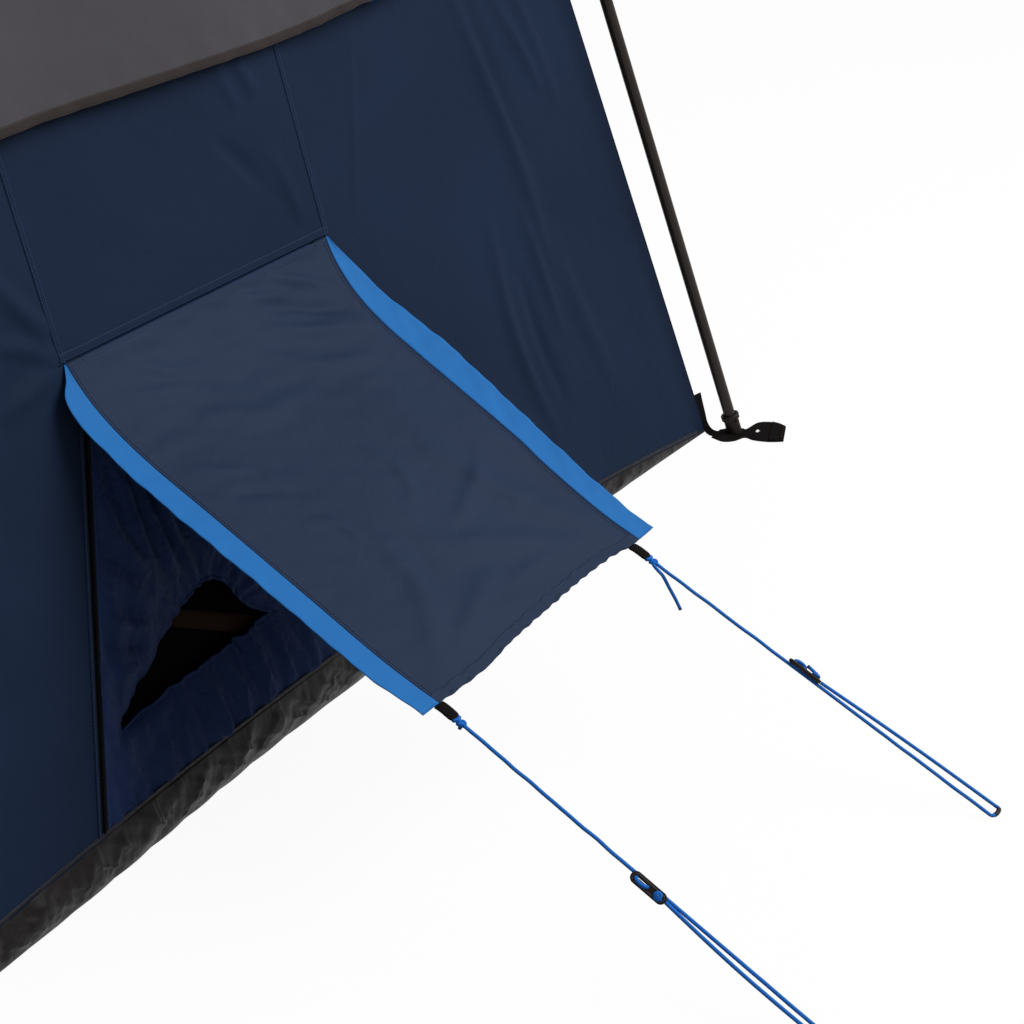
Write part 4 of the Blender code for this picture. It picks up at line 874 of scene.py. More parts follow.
@dataclass
class Vent:
    """Ground vent: thin slack cloth between two zips, drawn up round its opening, with netting behind."""

    rings: int = 34
    spokes: int = 300
    open_depth: float = 0.02
    tape_width: float = 0.012
    tooth: Size = (0.0013, 0.0048, 0.0018)
    tooth_pitch: float = 0.002
    mesh_slack: float = 0.04
    eye: tuple[float, float] = (-0.15, 0.215)
    brow: Line = (-3745, 1655, -3675, 1810, -3300, 2040, -2960, 2230, -2350, 2560, -1780, 2770, -1480, 2840,
        -1220, 2790, -1000, 2620, -860, 2360, -680, 2130, -290, 1860)
    sill: Line = (-290, 1860, -900, 1810, -1560, 1780, -2600, 1760, -3745, 1655)
    pleats: tuple[Fold, ...] = (
        (-262, 620, -256, 500, -239, 300, 10, 60), (-240, 630, -238, 480, -214, 300, 9, -50),
        (-222, 635, -224, 470, -196, 308, 9, 65), (-196, 635, -206, 450, -176, 314, 8, -55),
        (-170, 635, -188, 430, -164, 310, 8, 60), (-140, 635, -160, 430, -150, 310, 9, -50),
        (-105, 635, -130, 430, -138, 312, 9, 55), (-60, 635, -90, 430, -118, 305, 10, 50),
        (10, 635, -30, 430, -90, 280, 12, 50), (90, 635, 50, 400, -60, 225, 14, 55),
        (180, 635, 150, 380, 0, 200, 16, 50), (-300, 470, -275, 380, -238, 300, 10, 48),
        (-345, 400, -300, 345, -250, 290, 10, 50), (-368, 335, -320, 300, -262, 272, 8, 45),
        (-380, 300, -330, 275, -285, 255, 7, -38), (-395, 270, -350, 245, -310, 235, 8, 40),
        (-400, 140, -380, 160, -355, 172, 10, 30), (300, 330, 160, 250, 0, 195, 14, 45),
        (340, 200, 160, 190, 0, 183, 12, -35))

    @property
    def foot(self) -> float:
        """Half the vent's width at the tub's seam."""
        return float(vent_half(tub_top(vent_half(TUB_HEIGHT), HALF_D)))

    def outline(self) -> Array:
        """Edge of the cloth, hidden under the zips, the awning's seam and the tub's seam."""
        foot = self.foot
        bottom_u = np.linspace(-foot, foot, 60)
        bottom = np.stack([bottom_u, tub_top(bottom_u, HALF_D) - 0.003], axis=-1)
        right = np.array([(foot, bottom[-1, 1]), (VENT_TOP_HALF, SEAM_Z)])
        left = np.array([(-VENT_TOP_HALF, SEAM_Z), (-foot, bottom[0, 1])])
        return np.concatenate([bottom, right, left])

    def opening(self) -> Array:
        """Edge of the opening: a smooth brow and a nearly straight sill between two sharp corners."""
        return np.concatenate([curve_through(points_of(self.brow), 120)[:-1],
                               curve_through(points_of(self.sill), 50)[:-1]])

    def distance(self, outline: Array, angle: Array) -> Array:
        """Distance from the eye to an outline at each angle, by linear interpolation on a fine sampling."""
        ring = np.concatenate([outline, outline[:1]])
        fine = np.concatenate([np.linspace(a, b, 12, endpoint=False) for a, b in zip(ring, ring[1:])])
        offset = fine - np.array(self.eye)
        return np.interp(angle, np.arctan2(offset[:, 1], offset[:, 0]), np.linalg.norm(offset, axis=1), period=tau)

    def depth(self, share: Array, u: Array, z: Array) -> Array:
        """How far the cloth hangs in: late toward the opening, less its pleats, ripples and puckers."""
        edge = smoothstep(share, 0.0, 0.12)
        pleats = folds_relief(u, z, self.pleats, 1.25, 1.8)
        ripples = swells(u, z, 5, 0.026, 0.0019, 5.0) * smoothstep(0.24 - z, 0.0, 0.06)
        ripples = ripples + swells(u, z, 8, 0.07, 0.0036, 3.0)
        for seed, lean in ((13, 0.5), (14, -0.4)):
            crease = swells(u + lean * z, z, seed, 0.09, 1.0, 3.0)
            ripples = ripples + 0.0024 * np.exp(-(crease / 0.2) ** 2)
        angle = np.arctan2(z - self.eye[1], u - self.eye[0])
        gather = 0.0016 * np.sin(21 * angle + 2 * np.sin(3 * angle)) * smoothstep(share, 0.55, 0.97)
        gather = gather * smoothstep(z, 0.2, 0.25)
        return self.open_depth * share ** 2.5 - edge * (pleats + ripples + gather)

    def build(self) -> None:
        """Make the cloth, its drawn edge, the netting, the strap behind it and the zips."""
        opening = self.opening()
        key = np.concatenate([points_of(self.brow)[[0, -1]], self.outline()[[0, 59, -2, -1]]]) - np.array(self.eye)
        angle = np.unique(np.concatenate([np.linspace(-pi, pi, self.spokes, endpoint=False),
                                          np.arctan2(key[:, 1], key[:, 0])]))
        share = np.linspace(0, 1, self.rings)[:, None]
        reach = self.distance(self.outline(), angle) * (1 - share) + self.distance(opening, angle) * share
        u = self.eye[0] + np.cos(angle) * reach
        z = self.eye[1] + np.sin(angle) * reach
        grid = on_wall(Side.RIGHT, u, z, self.depth(share, u, z) + CLOTH_T)
        flat = np.stack([u, z], axis=-1).reshape(-1, 2)
        # The vent cloth's violet tone is painted light, standing in for the shade under the awning
        piece = cloth_piece("cloth_vent_panel", grid, NAVY_THIN_PAINTED_VIOLET, uv=flat, round_columns=True, node="vent_panel")
        # A trapezium between the zips, less the opening
        closed = np.concatenate([grid[-1], grid[-1, :1]])
        casing = band_piece("vent_opening_casing", closed, Side.RIGHT.outward, 0.006, 0.0016, NAVY_THIN_PAINTED_VIOLET, crown=0.0008)
        for soft in (piece, casing):
            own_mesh(soft)
        self.netting()
        self.zips()

    def netting(self) -> None:
        """Netting behind the cloth, slack except along its sewn edges, and the strap that crosses it."""
        count = 60
        c = np.linspace(-1, 1, count)[None, :]
        low = tub_top(c * self.foot, HALF_D)
        z = low + (SEAM_Z - low) * np.linspace(0, 1, count)[:, None]
        half = vent_half(z) - 0.001
        u = half * c
        edge = np.minimum(np.minimum(half - np.abs(u), z - low), SEAM_Z - z)
        ramp = np.clip(edge / 0.05, 0, 1)
        ripple = swells(u, z, 21, 0.09, 0.002)
        grid = on_wall(Side.RIGHT, u, z, CLOTH_T * 2 + 0.0004 + (self.mesh_slack + ripple) * ramp * (2 - ramp))
        sheet_piece("vent_netting", grid, BLACK_NET, "hung", ["cloth_right_wall_front_panel"], thickness=NET_T,
                    node="vent_mesh")
        across = np.linspace(0, 1, 20)
        path = on_wall(Side.RIGHT, -0.27 + 0.22 * across, 0.286 - 0.115 * across, 0.034)
        band_piece("vent_strap", path, Side.RIGHT.outward, 0.027, 0.0012, BROWN_TAPE)

    def zips(self) -> None:
        """Zip at each side: tape, a row of teeth, and a folded guard and a facing beside it."""
        out = np.array(Side.RIGHT.outward)
        z = np.linspace(SEAM_Z - 0.004, 0.074, 90)
        for sign, name in ((-1, "front"), (1, "rear")):
            def line(offset: float, lift: float, sign: int = sign) -> Array:
                return on_wall(Side.RIGHT, sign * (vent_half(z) + offset), z, -lift)
            band_piece("vent_zip_tape_" + name, line(0, 0.0009), out, self.tape_width, TAPE_T, ZIP_TAPE)
            centres, along = spaced(line(0, 0.0022), self.tooth_pitch)
            make_piece("vent_zip_teeth_" + name, bars(centres, along, out, self.tooth), ZIP_TAPE)
            band_piece("vent_zip_guard_" + name, line(0.0095, 0.001), out, 0.0065, 0.0016, NAVY, crown=0.0006)
            band_piece("vent_zip_facing_" + name, line(-0.009, 0.0006), out, 0.0055, 0.0012, NAVY_THIN_PAINTED_VIOLET)
            stitch_piece("stitches_vent_zip_" + name, [line(0.011, 0.0026), line(-0.0095, 0.0017)], out, NAVY_THREAD)


@dataclass
class Slider:
    """Zip slider: a waisted body, a bridge over it and a pull hanging from the bridge."""

    name: str
    body: str
    node: str
    centre: Place
    along: Place
    outward: Place
    length: float = 0.015
    width: float = 0.0088
    half_thick: float = 0.002
    wire: float = 0.0008
    pull_t: float = 0.001

    def build(self) -> None:
        """Loft the body through ovals, add the bridge as a bent tube and the pull as a flat drop."""
        along, out = unit(np.array(self.along)), unit(np.array(self.outward))
        side = np.cross(along, out)
        centre = np.array(self.centre)
        share = np.linspace(-1, 1, 15)
        half = self.width / 2 * (0.66 + 0.34 * share ** 2) * np.sqrt(np.clip(1.02 - share ** 8, 0, 1))
        around = even_turn(20)[:, None]
        wide, high = (np.sign(v) * np.abs(v) ** 0.5 for v in (np.cos(around), np.sin(around)))
        rings = centre + along * (share * self.length / 2)[:, None, None]
        rings = rings + side * wide * half[:, None, None] + out * high * self.half_thick
        turn = np.linspace(0, pi, 13)[:, None]
        bridge = centre + along * np.cos(turn) * 0.0042 + out * (0.0018 + np.sin(turn) * 0.0022)
        drop = np.linspace(0, 1, 14)[:, None]
        pull = centre + along * (0.003 + drop * 0.024) + out * (0.0046 - 0.0016 * drop)
        pull_width = 0.004 + 0.003 * np.sin(pi * np.clip(drop[:, 0] * 1.15 - 0.15, 0, 1)) ** 0.6
        parts = [round_body(rings), tube(bridge, self.wire, side), ribbon(pull, out, pull_width, self.pull_t)]
        make_piece(self.name, joined(parts), SLIDER, self.body, sharp=40, node=self.node)


@dataclass
class Awning:
    """Staked awning: navy cloth that sags near its seam, blue side strips and a folded front hem.

    Its seams wander a little, as the guylines pull it: inner and outer hold the strips' edges at the front
    and at the rear as (distance from the hinge, distance from the middle), front the hem's line across.
    """

    slope: float = radians(33.56)
    length: float = 0.66
    root_half: float = 0.287
    corners: tuple[float, float] = (-0.262, 0.262)
    sag: float = 0.036
    sag_at: float = 0.17
    strip_tilt: float = radians(7.0)
    hem: float = 0.016
    rows: int = 130
    columns: int = 100
    inner: tuple[Line, ...] = (
        (0, 2870, 640, 2835, 1700, 2780, 2660, 2735, 4200, 2725, 5500, 2705, 6200, 2640, 6600, 2575),
        (0, 2870, 650, 2770, 1400, 2720, 2450, 2720, 4150, 2665, 4900, 2585, 5890, 2575, 6600, 2675))
    outer: tuple[Line, ...] = (
        (0, 2890, 180, 3000, 500, 3245, 1300, 3235, 2400, 3205, 3700, 3176, 5080, 3154, 5800, 3125, 6600, 2965),
        (0, 2890, 445, 3065, 1090, 3160, 2000, 3270, 2600, 3270, 3780, 3145, 4820, 3035, 5500, 2985, 6200, 2995,
            6600, 3045))
    front: Line = (-2575, 6594, -2200, 6610, -1480, 6625, -765, 6560, 370, 6525, 1200, 6508, 2000, 6530, 2350, 6580,
        2675, 6594)
    folds: tuple[Fold, ...] = (
        (50, -270, 85, -190, 100, -100, 12, 24), (20, -200, 70, -130, 80, -60, 10, 20),
        (15, 50, 35, 100, 50, 160, 8, 22), (12, 130, 40, 190, 70, 260, 10, 36), (40, 80, 75, 160, 110, 250, 11, -30),
        (70, 60, 115, 150, 150, 255, 12, 30), (110, 20, 170, 120, 200, 220, 14, 22),
        (140, -150, 180, -60, 190, 20, 16, 20), (200, -240, 230, -190, 250, -150, 8, 22),
        (260, -230, 280, -180, 320, -120, 9, -18), (640, 235, 480, 150, 330, 110, 22, 36),
        (640, 228, 540, 60, 470, -60, 20, 30), (645, 220, 600, 100, 590, 0, 14, 22),
        (400, 200, 440, 130, 480, 20, 14, 22), (640, -225, 520, -120, 400, -100, 22, 30),
        (640, -215, 590, -80, 560, 20, 16, 22), (350, -180, 380, -130, 430, -120, 8, 20),
        (300, 20, 360, 40, 420, 10, 10, 18))

    @property
    def hinge(self) -> Array:
        """Middle of the line that the awning turns about."""
        return np.array([wall_x(SEAM_Z) + 0.001, 0.0, SEAM_Z])

    @property
    def out(self) -> Array:
        """Unit vector down the awning."""
        return np.array([cos(self.slope), 0.0, -sin(self.slope)])

    @property
    def up(self) -> Array:
        """Unit vector square to it."""
        return np.array([sin(self.slope), 0.0, cos(self.slope)])

    @staticmethod
    def along(points: Line, t: Array) -> Array:
        """Value at t of a smooth line through (t, value) points."""
        line = curve_through(points_of(points), 400)
        return np.interp(t, line[:, 0], line[:, 1])

    def seam(self, t: Array, sign: int) -> Array:
        """Place along the hinge of the seam between the cloth and one strip."""
        return sign * self.along(self.inner[(sign + 1) // 2], t)

    def across(self, t: Array, c: Array) -> Array:
        """Place along the hinge of a share c, -1 at the front seam and 1 at the rear one."""
        return (self.seam(t, -1) * (1 - c) + self.seam(t, 1) * (1 + c)) / 2

    def end(self, y: Array) -> Array:
        """Distance from the hinge of the front edge, which bows in between the corners."""
        return self.along(self.front, y) + swells(y, 0 * y, 83, 0.028, 0.0009)

    def front_at(self, c: Array) -> Array:
        """Distance from the hinge of the front edge at a share c across."""
        return self.end(self.across(np.full_like(c, 0.65), c))

    def drop(self, t: Array) -> Array:
        """Sag at t: a swell a times e to the 1 - a, with a = t over the deepest place, less its end value."""
        def swell(a: Array) -> Array:
            return a * np.exp(1 - a)
        return self.sag * (swell(t / self.sag_at) - t / self.length * swell(self.length / self.sag_at))

    def relief(self, t: Array, y: Array) -> Array:
        """Creases and slack of the navy cloth, none at its sewn edges."""
        room = np.minimum(y - self.seam(t, -1), self.seam(t, 1) - y)
        fade = smoothstep(room, 0.0, 0.03) * smoothstep(t, 0.0, 0.02) * smoothstep(self.end(y) - t, 0.004, 0.05)
        small = swells(t, y, 33, 0.045, 0.001, 1.5) * (0.35 + 0.65 * smoothstep(0.3 - t, 0.0, 0.2))
        return fade * (folds_relief(t, y, self.folds, 1, 2.2) + swells(t, y, 31, 0.16, 0.0016, 1.2) + small)

    def place(self, t: Array, y: Array, lift: Value) -> Array:
        """Points of the awning at t from the hinge, y along it and lift above the sagged cloth."""
        t, y, rise = np.broadcast_arrays(t, y, lift)
        height = (rise - self.drop(t))[..., None]
        return self.hinge + t[..., None] * self.out + y[..., None] * np.array([0, 1.0, 0]) + height * self.up

    def soften(self, piece: Piece) -> Piece:
        """Give a piece its own copy of its mesh."""
        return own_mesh(piece)

    def build(self) -> None:
        """Make the cloth, the strips, the hem and their stitches."""
        share = np.linspace(0, 1, self.rows)[:, None] ** 1.2
        c = np.linspace(-1, 1, self.columns)[None, :]
        t = 0.0012 + share * (self.front_at(c) - 0.0042)
        y = self.across(t, c)
        # The awning's navy is painted paler than the walls' navy, as painted light
        panel = cloth_piece("awning_cloth", self.place(t, y, self.relief(t, y)), NAVY_PAINTED_LIT, "awning",
                            node="awning_panel")
        hem_c = np.linspace(-1, 1, 160)[None, :]
        hem_t = self.front_at(hem_c) - self.hem * np.linspace(1, 0, 9)[:, None]
        hem_y = self.across(hem_t, hem_c)
        puckers = 0.35 * np.sin(hem_y * tau / 0.031) + np.sin(hem_y * tau / 0.083 + 1.3)
        puckers = 0.0005 * puckers * np.linspace(0.2, 1, 9)[:, None] + swells(hem_y, hem_t, 37, 0.05, 0.0006)
        hem = cloth_piece("awning_front_hem", self.place(hem_t, hem_y, puckers + 0.0003), NAVY_PAINTED_LIT, "awning",
                          0.0018, node="awning_hem")
        pieces = [panel, hem, self.strip(-1, "front"), self.strip(1, "rear")]
        line_t = np.linspace(0.006, self.length - 0.006, 120)
        rows = [self.place(line_t, self.seam(line_t, sign) - sign * back, 0.0016) for sign in (-1, 1)
                for back in (0.0075, 0.002)]
        line_c = np.linspace(-0.99, 0.99, 160)
        reach = self.front_at(line_c)
        for back in (0.0025, self.hem - 0.002):
            rows.append(self.place(reach - back, self.across(reach - back, line_c), 0.0016))
        rows.append(self.place(np.full(160, 0.01), line_c * (self.root_half - 0.002), 0.0012))
        pieces.append(stitch_piece("stitches_awning", rows, self.up, NAVY_THREAD, "awning"))
        pieces += [self.tab_root(name) for name in TAB_AT]
        for piece in pieces:
            self.soften(piece)

    def tab_root(self, name: str) -> Piece:
        """Sewn end of a guyline's tape under the hem's corner."""
        path = self.place(np.linspace(self.length - 0.014, self.length - 0.0004, 9), np.full(9, TAB_AT[name]), -0.0017)
        return band_piece("tape_root_" + name, path, self.up, 0.015, 0.0016, BLACK_TAPE, "awning")

    def strip(self, sign: int, name: str) -> Piece:
        """Side strip of bright blue cloth, widening from a point at the seam and tilted up."""
        t = (np.linspace(0, 1, 130)[:, None] ** 1.2) * (self.length - 0.0016) + 0.0008
        c = np.linspace(0, 1, 13)[None, :]
        near = self.along(self.inner[(sign + 1) // 2], t)
        wide = (self.along(self.outer[(sign + 1) // 2], t) - near) * c
        wave = 0.0007 * np.sin(t * tau / 0.083 + 2 * sign) * c ** 2
        wave = wave + 0.0005 * np.sin(t * tau / 0.037 + sign) * c * smoothstep(t, 0.05, 0.15)
        wave = wave + swells(t + 0.7 * wide, wide, 81 + sign, 0.055, 0.0014, 1.0) * np.sin(pi * c) ** 0.7
        lift = wide * tan(self.strip_tilt) + 0.0009 + wave - 0.0012 * np.sin(pi * c)
        grid = self.place(t, sign * (near + wide), lift)
        return cloth_piece("awning_strip_cloth_" + name, grid, BRIGHT_BLUE, "awning", node="awning_strip_" + name)


@dataclass
class Guyline:
    """Braided guyline: tape tab, knot, cord, flat tensioner and the doubled end that a stake holds.

    The plate is rolled about the line by roll, outward, and lies aside of it; apart is the distance between
    the two strands at the staked end.
    """

    name: str
    sign: int
    splay: float
    plate_at: float
    roll: float
    aside: float
    apart: float
    awning: Awning
    slope: float = radians(26.6)
    end_z: float = 0.004
    diameter: float = 0.0052
    tab: tuple[float, float] = (0.03, 0.015)
    knot_r: float = 0.0065
    touch: float = 0.0003
    round_edge: float = 0.0009
    hole_at: float = 0.29
    plate: Size = (0.0545, 0.016, 0.005)
    corner: Array = field(init=False)
    along: Array = field(init=False)
    side: Array = field(init=False)
    up: Array = field(init=False)
    plate_up: Array = field(init=False)
    plate_side: Array = field(init=False)
    length: float = field(init=False)

    def __post_init__(self) -> None:
        """Work out the awning's corner, the guyline's own directions and its plate's."""
        a = self.awning
        self.corner = a.hinge + a.out * a.length + np.array([0, TAB_AT[self.name], 0])
        flat = np.array([cos(self.splay), self.sign * sin(self.splay), 0.0])
        self.along = flat * cos(self.slope) - np.array([0, 0, sin(self.slope)])
        self.side = unit(np.cross(UPWARD, self.along))
        self.up = np.cross(self.along, self.side)
        self.length = (self.corner[2] - self.end_z) / sin(self.slope)
        outward = self.side * self.sign
        self.plate_up = outward * sin(self.roll) + self.up * cos(self.roll)
        self.plate_side = outward * cos(self.roll) - self.up * sin(self.roll)

    @property
    def run(self) -> str:
        """Body that the cord rides on."""
        return f"guyline_{self.name}_run"

    @property
    def radius(self) -> float:
        """Half the cord's thickness."""
        return self.diameter / 2

    def at(self, along: Value, side: Value = 0.0, up: Value = 0.0) -> Array:
        """Points at places along the guyline, sideways of it and above it."""
        along, side, up = (v[..., None] for v in np.broadcast_arrays(along, side, up))
        return self.corner + along * self.along + side * self.side + up * self.up

    def on_plate(self, along: Value, side: Value = 0.0, up: Value = 0.0) -> Array:
        """Points at places along the plate from its middle, across it and above its upper face."""
        along, side, up = (v[..., None] for v in np.broadcast_arrays(along, side, up))
        place = self.at(self.plate_at) + along * self.along + (side + self.aside) * self.plate_side
        return place + (self.radius + self.touch + self.plate[2] + up) * self.plate_up

    def strand(self, start: float, end: float, count: int) -> Array:
        """Second strand: from under the plate's end outward past a belly, a half sine; its lift fades."""
        off = self.on_plate(0.0, 0.0, -self.plate[2] / 2) - self.at(self.plate_at)
        first, lift = float(off @ self.side) * self.sign, float(off @ self.up)
        share = np.linspace(0, 1, count)
        side = first + (self.apart - first) * share + 0.004 * np.sin(pi * share)
        return self.at(start + (end - start) * share, self.sign * side, lift * (1 - share) ** 2)

    def trefoil(self, centre: Array, axes: tuple[Array, Array, Array]) -> MeshData:
        """Knot of one cord: sin t + 2 sin 2t, cos t - 2 cos 2t and -sin 3t along three axes, each with its size."""
        t = even_turn(90)
        shape = np.stack([np.sin(t) + 2 * np.sin(2 * t), np.cos(t) - 2 * np.cos(2 * t), -1.2 * np.sin(3 * t)], -1) / 3
        return loop_tube(centre + shape @ np.stack(axes), self.radius, centre)

    def loose_end(self, name: str, path: Array, body: str) -> None:
        """End of the cord along a path, melted to a dark tip."""
        tail = cord_piece(name, path, self.radius, self.up, CORD_BLUE, body)
        cap = ((-2.2, 0.6), (-2.1, 2.55), (0.4, 2.62), (1.2, 2.2), (1.6, 1.0))
        tip = make_piece(name + "_tip", lathe(cap, path[-1], path[-1] - path[-2], 12), PLASTIC, body)

    def build(self) -> None:
        """Make every piece of the line."""
        share = np.linspace(0, 1, 22)
        width = self.tab[1] * (1.2 - 0.3 * smoothstep(share, 0.75, 1.0))
        rise = 0.0004 * np.sin(pi * share) - 0.0014 * (1 - share) ** 8
        path = self.at((self.tab[0] + self.touch) * share, 0, rise)
        band_piece("tape_tab_" + self.name, path, self.up, width, 0.0022, BLACK_TAPE, self.run, 0.0006,
                   "guyline_tab_" + self.name)

        knot_at = 0.0006 + self.tab[0] + self.knot_r
        parts = [self.trefoil(self.at(knot_at), (self.along * 0.006, self.side * 0.0044, self.up * 0.004))]
        around = even_turn(40)
        parts.append(loop_tube(self.at(knot_at - 0.0075 + 0.0022 * np.cos(around), 0.005 * np.sin(around),
                                       0.0022 * np.cos(around)), self.radius, self.at(knot_at - 0.0075)))
        make_piece("cord_knot_" + self.name, joined(parts), CORD_BLUE, self.run, node="awning_knot_" + self.name)
        if self.sign > 0:
            keys = ((0.0, -0.0022, 0.0), (0.0066, -0.0053, -0.0014), (0.015, -0.005, -0.004),
                    (0.0243, -0.004, -0.0072), (0.0397, -0.002, -0.0183), (0.0572, -0.0005, -0.03),
                    (0.0699, 0.0, -0.0392))
            name, count = "guyline_tail", 40
        else:
            keys = ((0.0, 0.0, -0.002), (0.002, -0.001, -0.0045), (0.0028, -0.002, -0.0068))
            name, count = "guyline_stub", 12
        along, aside, up = curve_through(keys, count).T
        self.loose_end(name, self.at(knot_at + along, aside, up), self.run)

        line = np.linspace(knot_at + self.knot_r - 0.002, self.length, 160)
        off = np.maximum(self.plate_at - 0.03 - line, line - self.plate_at - 0.115)
        near_plate = smoothstep(off, 0.0, 0.03) * smoothstep(self.length - line, 0.0, 0.05)
        line = self.at(line, swells(line, 0 * line, 71 + self.sign, 0.05, 0.0004) * near_plate,
                       swells(line, 0 * line, 73 + self.sign, 0.06, 0.0004) * near_plate)
        back_from = self.plate_at + self.plate[0] / 2 + self.touch
        strand = self.strand(back_from, self.length, 40)
        main = cord_piece("guyline_cord_" + self.name, line, self.radius, self.up, CORD_BLUE, self.run,
                          node="guyline_" + self.name)
        second = cord_piece("guyline_doubled_" + self.name, strand, self.radius, self.up, CORD_BLUE, self.run,
                            node="return_strand_" + self.name)
        self.sleeve()
        tuple(self.along)
        tuple(self.at(self.length))
        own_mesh(second)
        self.tensioner(f"tensioner_{self.name}_slider")

    def sleeve(self) -> Piece:
        """End of the loop: the cord turns back on a half ellipse, through a short black sleeve."""
        turn = np.linspace(-pi / 2, pi / 2, 24)
        middle = self.sign * self.apart / 2
        reach = 0.005 * np.cos(turn)
        path = self.at(self.length + reach, middle + np.sin(turn) * middle, reach * tan(self.slope))
        cord_piece("guyline_bend_" + self.name, path, self.radius, self.up, CORD_BLUE, self.run)
        return make_piece("guyline_sleeve_" + self.name, tube(path[6:18], self.radius * 1.3, self.up, 12), PLASTIC,
                          self.run, sharp=40)

    def tensioner(self, slider: str) -> None:
        """Flat plate with rounded ends, a rim, a slot and a hole, and the cord's bight and knot on it."""
        long, wide, thick = self.plate
        flat = bpy.data.curves.new("plate", "CURVE")
        flat.dimensions = "2D"
        flat.fill_mode = "BOTH"
        flat.extrude = thick / 2 - self.round_edge
        flat.bevel_depth = self.round_edge
        flat.bevel_resolution = 3
        angle = even_turn(48)

        def rounded(x0: float, half_x: float, half_y: float) -> Array:
            x = x0 + np.sign(np.cos(angle)) * (half_x - half_y) + half_y * np.cos(angle)
            return np.stack([x, half_y * np.sin(angle)], axis=-1)

        hole = self.hole_at * long
        for outline in (rounded(0, long / 2 - self.round_edge, wide / 2 - self.round_edge),
                        rounded(-0.22 * long, 0.0088, 0.003), rounded(hole, 0.0034, 0.0034)):
            spline = flat.splines.new("POLY")
            spline.points.add(len(outline) - 1)
            spline.points.foreach_set("co", np.concatenate([outline, np.zeros((len(outline), 1)),
                                                            np.ones((len(outline), 1))], axis=1).ravel())
            spline.use_cyclic_u = True
        holder = bpy.data.objects.new("plate", flat)
        mesh = bpy.data.meshes.new_from_object(holder)
        places = np.empty(len(mesh.vertices) * 3)
        mesh.vertices.foreach_get("co", places)
        places = places.reshape(-1, 3)
        faces = [list(p.vertices) for p in mesh.polygons]
        bpy.data.objects.remove(holder)
        points = self.on_plate(places[:, 0], places[:, 1], places[:, 2] - thick / 2)
        make_piece("tensioner_plate_" + self.name, (points, faces), PLASTIC, slider, sharp=40,
                   node="tensioner_" + self.name)
        edge = rounded(0, long / 2 - 0.003, wide / 2 - 0.003)
        rims = [loop_tube(self.on_plate(edge[:, 0], edge[:, 1], up), 0.0006, self.on_plate(0.0, 0.0, up), 6)
                for up in (0.0, -thick)]
        make_piece("tensioner_rim_" + self.name, joined(rims), PLASTIC_WORN, slider)

        turn = np.linspace(0, pi, 24)
        bight = self.on_plate(-0.0105 - 0.009 * np.cos(turn), 0.003 * np.sin(turn),
                              -0.0016 + 0.0046 * np.sin(turn) ** 0.6)
        parts = [tube(bight, self.radius, self.plate_side, 10)]
        if self.aside > 0:
            under = self.on_plate(np.linspace(-0.021, 0.018, 12), 0.0016, -thick - self.radius - self.touch)
            parts.append(tube(under, self.radius, self.plate_side, 10))
        turn = np.linspace(0, 3.4 * pi, 60)
        size = 0.0046 - 0.0026 * turn / turn[-1]
        coil = self.on_plate(hole + size * np.cos(turn), size * np.sin(turn),
                             self.radius * (0.8 + 0.5 * turn / turn[-1]))
        parts.append(tube(coil, self.radius, self.plate_up, 10))
        make_piece("tensioner_cord_" + self.name, joined(parts), CORD_BLUE, slider)
        core = lathe(((0.0, 0.6), (0.2, 1.2), (0.6, 1.0), (0.8, 0.4)),
                     self.on_plate(hole, 0.0, self.radius * 2.2), self.plate_up, 12)
        make_piece("tensioner_core_" + self.name, core, CORD_CORE, slider)
        if self.sign > 0:
            course = curve_through(((hole, 0.004, 0.003), (0.01, 0.003, 0.0042), (0.0, 0.001, 0.0052)), 14)
            self.loose_end("tensioner_stub", self.on_plate(*course.T), slider)


